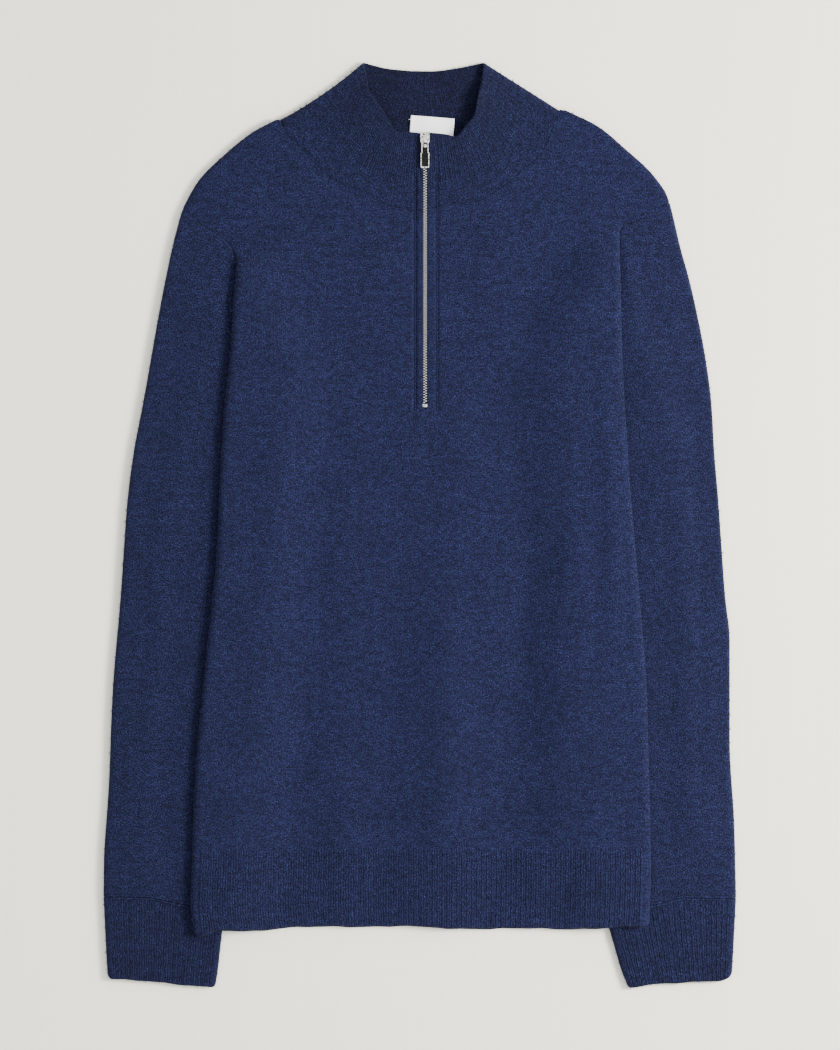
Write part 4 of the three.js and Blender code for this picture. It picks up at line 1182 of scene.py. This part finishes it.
# %% Seam lines
def on_table(table, shares, height, shift=(0, 0)):
    """Points along a table at the given height function of x and y."""
    ground = along(table, shares) + np.array(shift)
    return [(x, y, height(x, y)) for x, y in ground]


def wavy(count, size, seed):
    """Small uneven offsets, so that a seam isn't a ruled line."""
    return [size * noise.noise(Vector((i * 0.35, seed, 0))) for i in range(count)]


ARMHOLE_ROUND = 7
SEAM_SINK = 0.95


def armhole_height(side):
    """Height along an armhole, which comes up round the rolled edge at the shoulder."""
    corner = (side["armhole"]["x"][0], side["armhole"]["y"][0])

    def height(x, y):
        run = min(1.0, math.hypot(x - corner[0], y - corner[1]) / ARMHOLE_ROUND)
        return LAID / 2 + (LAID / 2 + 0.1) * math.sin(math.acos(1 - run)) - SEAM_SINK

    return height


ARMHOLE_LINE = np.linspace(0.004, 0.56, 60)
ARMHOLE_YARN = 0.95
CUFF_LINE = np.linspace(0.05, 0.95, 90)
CUFF_LINES_Y = (0.7, -1.5)
NECK_LINE = np.linspace(0.06, 0.955, 120)
SEAM_YARN = 0.7
for side in SIDES:
    shift = (side["sign"] * 0.3, -0.15)
    points = on_table(side["armhole"], ARMHOLE_LINE, armhole_height(side), shift)
    yarn("armhole_seam_" + side["name"], points, ARMHOLE_YARN, seam_knit, "knit")
    for k, dy in enumerate(CUFF_LINES_Y):
        shift = (0, dy - CUFF_SEAM_GAP / 2)
        points = on_table(side["cuff_seam"], CUFF_LINE, lambda x, y: LAID + 0.1, shift)
        strays = wavy(len(CUFF_LINE), 0.5, k)
        points = [(x, y + stray, z) for (x, y, z), stray in zip(points, strays)]
        yarn(f"cuff_seam_{side['name']}_{k}", points, SEAM_YARN, ridge_knit, "knit")
    points = on_table(side["neck"], NECK_LINE, lambda x, y: LAID - 0.25, (0, 0.2))
    yarn("neck_seam_" + side["name"], points, SEAM_YARN, seam_knit, "knit")
print("seam lines on each side:", 2 + len(CUFF_LINES_Y))

# %% [markdown]
# ## Placket stitching
# The zip's tape is held by a line of stitches on each side of it and one across its foot. The thread has
# the colour of the knit and sinks into it, so each stitch is a short length of thread with its two ends
# turned down.


# %% Stitches
STITCH = 2.9
STITCH_GAP = 0.8
STITCH_SINK = 0.62
THREAD_RADIUS = 0.38
STITCH_RINGS = ((0, 0.7, 0.5), (0.12, 0.12, 1), (0.5, 0, 1.05), (0.88, 0.12, 1), (1, 0.7, 0.5))


def stitch_line(name, start, end):
    """A row of stitches from start to end on the front, joined into one piece."""
    start, end = Vector(start), Vector(end)
    count = int((end - start).length / (STITCH + STITCH_GAP))
    step = (end - start) / count
    way = step.normalized()
    mesh_build = bmesh.new()
    for i in range(count):
        first = start + step * i + way * STITCH_GAP / 2
        rings = []
        for share, dip, size in STITCH_RINGS:
            x, y = first + way * STITCH * share
            place = (x, y, front_height(x, y) - STITCH_SINK - dip)
            rings.append(ring_at(mesh_build, place, (*way, 0), THREAD_RADIUS * size))
        skin(mesh_build, rings)
    return finish_mesh(name, mesh_build, thread, "knit")


stitch_line("placket_stitch_left", (PLACKET_LEFT, PLACKET_FOOT), (PLACKET_LEFT, PLACKET_TOP))
stitch_line("placket_stitch_right", (PLACKET_RIGHT, PLACKET_FOOT), (PLACKET_RIGHT, PLACKET_TOP))
stitch_line("placket_stitch_foot", (PLACKET_LEFT, PLACKET_FOOT), (PLACKET_RIGHT, PLACKET_FOOT))
print("placket stitches set", STITCH, "mm long")

# %% [markdown]
# ## Zip
# Two woven tapes carry the teeth, which mesh by half a pitch. The tapes are cloth strips under the
# placket, each with a beaded edge that the teeth grip. Each tooth is a small flat-topped block of metal
# with a narrower nose, lofted from three rings. Flat tops all catch the light at once, where rounded
# ones would blur into one grey line.

# %% Zip tapes
TAPE_WIDE = 12.0
TAPE_THICK = 0.8
TAPE_LOW = 99.0
TAPE_HIGH = 337.0
BEAD_X = 1.75
BEAD_UP = 0.75
BEAD_RADIUS = 0.55
CHAIN_LOW = 106.4
CHAIN_HIGH = 332.0


def tape_top(y):
    return LAID + zip_up(y) - WALL - GAP


for side in SIDES:
    ys = np.linspace(TAPE_LOW, TAPE_HIGH, 90)
    reach = mix(0.3, TAPE_WIDE, np.linspace(0, 1, 13))
    xs = ZIP_X + side["sign"] * reach
    z = np.array([tape_top(y) for y in ys])[:, None] + 0.0 * xs[None, :]
    outer = np.stack(np.broadcast_arrays(xs[None, :], ys[:, None], z), axis=-1)
    inner = outer - np.array([0, 0, TAPE_THICK])
    rims = {"foot": 0, "head": 0, "first": 0, "last": 0}
    wall = {"outer": outer, "inner": inner, "plan": outer[..., :2], "rims": rims}
    tape = cloth("tape_" + side["name"], [wall], lip=0.2)
    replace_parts(dress(tape, tape_cloth, "tape"), "zip_tape_" + side["name"])
    bead_ys = np.linspace(CHAIN_LOW - 4, CHAIN_HIGH, 80)
    bead = [(ZIP_X + side["sign"] * BEAD_X, y, tape_top(y) + BEAD_UP) for y in bead_ys]
    yarn("tape_bead_" + side["name"], bead, BEAD_RADIUS, tape_cloth, "tape")
print("tapes:", TAPE_HIGH - TAPE_LOW, "mm long")

# %% Teeth
TOOTH_PITCH = 2.26
TEETH_X = ZIP_X + 0.25
TEETH_REACH = 1.55
TOOTH_HALF = ((0, 0.36), (0.9, 0.36), (1.3, 0.3), (1.62, 0.2))  # from its grip on the tape to its nose
TOOTH_PLAN = [(x, -y) for x, y in TOOTH_HALF] + list(TOOTH_HALF[::-1])


def add_tooth(mesh_build, side, y):
    """One tooth at y, gripping the tape of its side; it leans as the chain climbs."""
    tilt = (zip_up(y + 1) - zip_up(y - 1)) / 2
    low, high = tape_top(y) + 0.45, LAID + zip_up(y) + 0.05
    rings = []
    for z, grow in ((low, 0.92), (high - 0.2, 1.0), (high, 0.85)):
        ring = []
        for along_x, across in TOOTH_PLAN:
            reach = 0.9 + (along_x - 0.9) * (0.4 + 0.6 * grow)
            x = TEETH_X + side["sign"] * (TEETH_REACH - reach)
            dy = across * grow
            ring.append(mesh_build.verts.new(Vector((x, y + dy, z + dy * tilt)) * MM))
        rings.append(ring)
    skin(mesh_build, rings)


teeth_build = bmesh.new()
tooth_count = int((CHAIN_HIGH - CHAIN_LOW) / TOOTH_PITCH)
first_tooth = CHAIN_LOW + 0.7
for i in range(tooth_count):
    add_tooth(teeth_build, LEFT, first_tooth + i * TOOTH_PITCH)
    add_tooth(teeth_build, RIGHT, first_tooth + (i + 0.5) * TOOTH_PITCH)
teeth = finish_mesh("zip_teeth", teeth_build, teeth_metal, "zip_metal", flat=True)
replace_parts(teeth, "zip_chain")
print("teeth on each side:", tooth_count)

# %% [markdown]
# ## Slider, stop and pull
# The slider, its bridge, the stop and the pull are small castings whose exact shape and hinge matter, so
# their frame solids stay and take a metal finish. The hollow of the pull gets thin dark plates just above
# its floor and beside its rod, painted shade in the hollow. The rod and the cap on the bridge are bars with
# rounded edges, and the notches of the slider are dark discs of painted shade, as they are too small to cut.

# %% Metal finish on the frame's solids
for node in ("zip_slider", "zip_pull", "zip_stop"):
    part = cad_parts[node]
    part.data.materials.clear()
    part.data.materials.append(steel)
print("frame solids in metal: 3")

# %% Small bars and plates
EDGE_ROUND = 0.2


def at(x, y, z):
    """A place in mm as a matrix."""
    return Matrix.Translation(Vector((x, y, z)) * MM)


def add_box(mesh_build, place, size):
    """A box of a size in mm, with its middle at a place."""
    matrix = place @ Matrix.Diagonal((*(v * MM for v in size), 1))
    bmesh.ops.create_cube(mesh_build, size=1.0, matrix=matrix)


def bar(name, place, size, body="garment"):
    """A bar of plated metal with rounded edges."""
    mesh_build = bmesh.new()
    add_box(mesh_build, place, size)
    bmesh.ops.bevel(mesh_build, geom=mesh_build.edges[:], offset=EDGE_ROUND * MM, segments=2,
                    affect="EDGES", profile=0.5, material=-1)
    return finish_mesh(name, mesh_build, steel, "zip_metal", body)


print("edges rounded by", EDGE_ROUND, "mm")

# %% Hollow and rod of the pull
PIN = (5.0, 335.5, 15.2)
PULL_TILT = 7.5
SHADE_PLATES = (  # middle and size, seen from the pin
    ((0, -17.3, 0.06), (5.1, 11.7, 0.1)), ((0, -9.0, 0.06), (3.7, 5.5, 0.1)),
    ((-1.7, -4.9, 0.6), (0.9, 2.8, 0.1)), ((1.8, -4.5, 0.6), (1.1, 4.2, 0.1)),
    ((-2.75, -17.3, 0.6), (0.4, 11.9, 0.08)), ((2.75, -17.3, 0.6), (0.4, 11.9, 0.08)),
    ((-2.05, -8.9, 0.6), (0.4, 5.2, 0.08)), ((2.05, -8.9, 0.6), (0.4, 5.2, 0.08)),
)
pull_place = at(*PIN) @ Matrix.Rotation(math.radians(PULL_TILT), 4, "X")
# Painted shade: thin nearly black plates in the pull's hollow.
shade_build = bmesh.new()
for middle, size in SHADE_PLATES:
    add_box(shade_build, pull_place @ at(*middle), size)
finish_mesh("pull_bed", shade_build, recess_metal, "zip_metal", body="pull", flat=True)
ROD_MIDDLE = (0, -5.15, 0.7)
ROD_SIZE = (2.2, 2.7, 0.5)
bar("pull_rod", pull_place @ at(*ROD_MIDDLE), ROD_SIZE, "pull")
print("plates in the pull:", len(SHADE_PLATES))

# %% Cap and notches of the slider
CAP_MIDDLE = (5.0, 335.58, 17.05)
CAP_SIZE = (2.2, 5.04, 0.5)
bar("slider_cap", at(*CAP_MIDDLE), CAP_SIZE)
NOTCHES = ((4.1, 340.4, 1.5), (3.1, 338.6, 1.1), (6.9, 339.4, 0.7))  # x, y and width
NOTCH_Z = 13.96
NOTCH_THICK = 0.04
# Painted shade: nearly black discs in the slider's notches.
pit_shade_build = bmesh.new()
for x, y, wide in NOTCHES:
    place = at(x, y, NOTCH_Z)
    bmesh.ops.create_circle(pit_shade_build, cap_ends=True, radius=wide / 2 * MM, segments=10, matrix=place)
pits = bmesh.ops.extrude_face_region(pit_shade_build, geom=pit_shade_build.faces[:])
raised = [part for part in pits["geom"] if isinstance(part, bmesh.types.BMVert)]
bmesh.ops.translate(pit_shade_build, verts=raised, vec=(0, 0, NOTCH_THICK * MM))
finish_mesh("slider_pits", pit_shade_build, recess_metal, "zip_metal", flat=True)
print("notches on the slider:", len(NOTCHES))

# %% [markdown]
# ## Label
# The label is a narrow woven satin ribbon, cut and folded at its two ends, sewn to the back of the collar
# by its top corners. It is bare, lies a little askew and bows slightly. A grid with a few waves in its
# height does that, and one thread sticks out at its corner.

# %% Label
LABEL_WIDE = 38.0
LABEL_HIGH = 22.0
LABEL_TURN = -4.5
LABEL_X = 11.0
LABEL_Y = 345.5
LABEL_Z = 4.0
LABEL_THICK = 0.45
label_us, label_vs = np.meshgrid(np.linspace(-0.5, 0.5, 41), np.linspace(-0.5, 0.5, 25))
turned = math.radians(LABEL_TURN)
label_x = LABEL_X + LABEL_WIDE * label_us * math.cos(turned) - LABEL_HIGH * label_vs * math.sin(turned)
label_y = LABEL_Y + LABEL_WIDE * label_us * math.sin(turned) + LABEL_HIGH * label_vs * math.cos(turned)
bow = 0.5 * np.cos(label_us * 2.4 * np.pi + 0.6) + 0.35 * np.sin(label_vs * np.pi * 1.5)
edge_fold = 0.35 * np.exp(-(((np.abs(label_us) - 0.475) / 0.02) ** 2))
label_top = np.stack([label_x, label_y, LABEL_Z + bow * 0.5 + edge_fold], axis=-1)
label_plan = np.stack([LABEL_WIDE * label_us, LABEL_HIGH * label_vs], axis=-1)
label_wall = {
    "outer": label_top,
    "inner": label_top - np.array([0, 0, LABEL_THICK]),
    "plan": label_plan,
    "rims": {"foot": 0, "head": 0, "first": 0, "last": 0},
}
label = cloth("label_ribbon", [label_wall], lip=0.15)
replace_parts(dress(label, satin, "label"), "label")
LOOSE_END = [(-6.6, 354.4, 4.6), (-7.6, 354.6, 5.0), (-8.8, 354.2, 4.8), (-9.6, 354.5, 4.4)]
yarn("label_thread", LOOSE_END, 0.22, satin, "label")
print("label", LABEL_WIDE, "x", LABEL_HIGH, "mm")

# %% [markdown]
# ## Cut sizes
# Each cloth piece is a flat knitted panel before it is sewn. Its cut is the rectangle it comes from, and
# the area is less where the shoulders, the armhole or the neck are shaped. That area is worked out from
# the pattern's lines alone, so the finished cloth can be held against it. A sleeve and a cuff are cut all
# round the arm, so they count twice.


# %% Areas from the pattern
def cloth_area(piece):
    """Half of a closed wall's surface, in square metres, which is the area of its cloth."""
    return sum(polygon.area for polygon in piece.data.polygons) / 2


def area_inside(*lines):
    """Area in square metres inside lines of points in mm that follow each other round a panel."""
    x, y = np.concatenate(lines).T
    return abs(float(x @ np.roll(y, -1) - y @ np.roll(x, -1))) / 2 * MM**2


def body_area(necks, meeting):
    """Area of a front or back: from each half's edge to its neck line and down to the middle."""
    total = 0
    foot = -351
    for side, neck in zip(SIDES, necks):
        ys = np.linspace(side["body"]["y"][0], foot, 400)
        edge = np.stack([level(side["body"], "x", ys), ys], axis=-1)
        middle = np.array([[meeting, foot]])
        total += area_inside(edge, middle, along(neck, np.linspace(1, 0, 200)))
    return total


line_shares = np.linspace(0, 1, 200)
AREAS = {
    "front": body_area(FRONT_NECKS, ZIP_X),
    "back": body_area(BACK_NECKS, BACK_MIDDLE),
    "collar_cloth": area_inside(along(BACK_SEAM, line_shares), along(COLLAR_TOP_BACK, line_shares)[::-1]),
}
for side in SIDES:
    line = {key: along(side[key], line_shares) for key in side if key not in ("name", "sign", "hidden")}
    arm = area_inside(line["sleeve"], line["cuff_seam"], line["armhole"][::-1])
    cuff_half = area_inside(line["cuff_seam"], line["cuff_end"][::-1])
    AREAS["sleeve_cloth_" + side["name"]] = 2 * arm
    AREAS["cuff_cloth_" + side["name"]] = 2 * cuff_half
    AREAS["collar_cloth"] += area_inside(line["neck"], line["collar_top"][::-1])
print("areas from the pattern:", len(AREAS))

# %% Sheets
CUTS = {
    "front": (0.45, 0.72), "back": (0.45, 0.72), "sleeve_cloth_left": (0.25, 0.62),
    "sleeve_cloth_right": (0.26, 0.625), "cuff_cloth_left": (0.225, 0.076), "cuff_cloth_right": (0.23, 0.076),
    "collar_cloth": (0.60, 0.075), "tape_left": (0.012, 0.238), "tape_right": (0.012, 0.238),
    "label_ribbon": (0.038, 0.022),
}
for name, (wide, long) in CUTS.items():
    piece = bpy.data.objects[name]
    area = AREAS.get(name, wide * long)
    share = cloth_area(piece) / area
    print(name, "cut", wide, "x", long, "m, cloth over area", round(share, 3))

# %% [markdown]
# ## Nap
# A brushed yarn sheds fine fibres that stand off the cloth, and along the outline they blur its edge.
# Each fibre is a thin blade that leaves the surface at a slant and bends over. They grow thickest where
# the cloth turns over at the sides, the cuffs and the collar, which is where the eye sees them.

# %% Fibres
FIBRE_LONG = 2.2
FIBRE_WIDE = 0.17
ON_FLAT = 0.04  # how many grow on flat cloth, for each one near an edge
FLOOR_CLEAR = 1.2
rng = np.random.default_rng(7)


def fibres(name, piece, count, near_edge):
    """Fibres on a piece's outward faces; near_edge is how level a normal still is away from an edge."""
    mesh = piece.data
    centres = np.empty(len(mesh.polygons) * 3)
    normals = np.empty(len(mesh.polygons) * 3)
    areas = np.empty(len(mesh.polygons))
    mesh.polygons.foreach_get("center", centres)
    mesh.polygons.foreach_get("normal", normals)
    mesh.polygons.foreach_get("area", areas)
    centres, normals = centres.reshape(-1, 3) / MM, normals.reshape(-1, 3)
    up = normals[:, 2]
    weight = areas * (up > -0.2) * (ON_FLAT + (up < near_edge)) * (centres[:, 2] > FLOOR_CLEAR)
    picks = rng.choice(len(areas), size=count, p=weight / weight.sum())
    build = bmesh.new()
    for i in picks:
        spread = math.sqrt(areas[i]) / MM * 0.5
        root = centres[i] + rng.uniform(-1, 1, 3) * spread * (1 - np.abs(normals[i]))
        lean = normals[i] + rng.normal(0, 0.75, 3)
        lean = lean / np.linalg.norm(lean)
        if lean @ normals[i] < 0.15:
            lean = lean + normals[i]
        droop = rng.normal(0, 0.5, 3)
        long = FIBRE_LONG * rng.uniform(0.4, 1.3)
        across = np.cross(lean, rng.normal(0, 1, 3))
        across = across / np.linalg.norm(across) * FIBRE_WIDE / 2
        middle = root + lean * long * 0.5
        tip = root + lean * long * 0.9 + droop * long * 0.3
        tip[2] = max(tip[2], 0.3)
        root = root - normals[i] * 0.2
        corners = (root - across, root + across, middle + across, middle - across, tip)
        verts = [build.verts.new(Vector(corner) * MM) for corner in corners]
        build.faces.new(verts[:4])
        build.faces.new([verts[3], verts[2], verts[4]])
    return finish_mesh(name, build, nap, "knit")


NAP = (
    (front, 5200, 0.75), (sleeves[0], 3000, 0.75), (sleeves[1], 3000, 0.75),
    (cuffs[0], 900, 0.8), (cuffs[1], 900, 0.8), (collar, 2600, 0.85), (back, 900, 0.9),
)
for piece, count, near_edge in NAP:
    fibres("nap_" + piece.name, piece, count, near_edge)
print("fibres:", sum(count for piece, count, near_edge in NAP))

# %% [markdown]
# ## Floor and light
# The sweater lies on white paper with a faint grain. A broad window high on the right gives the bright
# right edges and the soft shadows on the left. A pale room, brighter on the window's side, fills the
# rest, since metal shows what stands round it.

# %% Paper
FLOOR_SINK = 0.5 * MM
floor_mesh = bpy.data.meshes.new("floor")
floor_grid = bmesh.new()
bmesh.ops.create_grid(floor_grid, x_segments=1, y_segments=1, size=3.0)
floor_grid.to_mesh(floor_mesh)
floor_grid.free()
floor = bpy.data.objects.new("floor", floor_mesh)
floor.location.z = -FLOOR_SINK
bpy.context.scene.collection.objects.link(floor)
paper, nodes, links, shader = shader_of("paper", 0.9)
vector = nodes.new("ShaderNodeTexCoord").outputs["Object"]
streaks = noise_of(nodes, links, vector, 160.0, 2.0, (1.0, 0.02, 1.0))
tint = ramp_of(nodes, links, streaks, (0.3, 0.952, 0.932, 0.798), (0.7, 0.972, 0.952, 0.825))
links.new(tint, shader.inputs["Base Color"])
floor.data.materials.append(paper)
print("paper:", [round(v, 2) for v in floor.dimensions], "m")


# %% Window and room
def area_light(name, place, target, size, power, colour):
    """A soft square light that looks at a target."""
    data = bpy.data.lights.new(name, "AREA")
    data.shape = "SQUARE"
    data.size = size
    data.energy = power
    data.color = colour
    light = bpy.data.objects.new(name, data)
    light.location = place
    light.rotation_euler = (Vector(target) - Vector(place)).to_track_quat("-Z", "Y").to_euler()
    bpy.context.scene.collection.objects.link(light)
    return light


WINDOW_PLACE = (1.6, 0.15, 1.3)
WINDOW_SIZE = 0.6
WINDOW_WATTS = 90.0
WINDOW_COLOUR = (1.0, 0.985, 0.955)
ROOM_STRENGTH = 1.46
ROOM_COLOURS = ((0.0, 0.48, 0.49, 0.51), (1.0, 1.6, 1.6, 1.58), (0.5, 1.0, 1.01, 1.03))
area_light("window", WINDOW_PLACE, (0, 0, 0), WINDOW_SIZE, WINDOW_WATTS, WINDOW_COLOUR)
world = bpy.data.worlds.new("room")
bpy.context.scene.world = world
world.use_nodes = True
nodes, links = world.node_tree.nodes, world.node_tree.links
way = nodes.new("ShaderNodeSeparateXYZ")
links.new(nodes.new("ShaderNodeTexCoord").outputs["Generated"], way.inputs["Vector"])
sideways = nodes.new("ShaderNodeMapRange")
sideways.inputs["From Min"].default_value = -0.9
sideways.inputs["From Max"].default_value = 0.9
sideways.inputs["To Min"].default_value = 0.0
sideways.inputs["To Max"].default_value = 1.0
links.new(way.outputs["X"], sideways.inputs["Value"])
sky = ramp_of(nodes, links, sideways.outputs["Result"], *ROOM_COLOURS)
links.new(sky, nodes["Background"].inputs["Color"])
nodes["Background"].inputs["Strength"].default_value = ROOM_STRENGTH
print("lights:", len(bpy.data.lights))
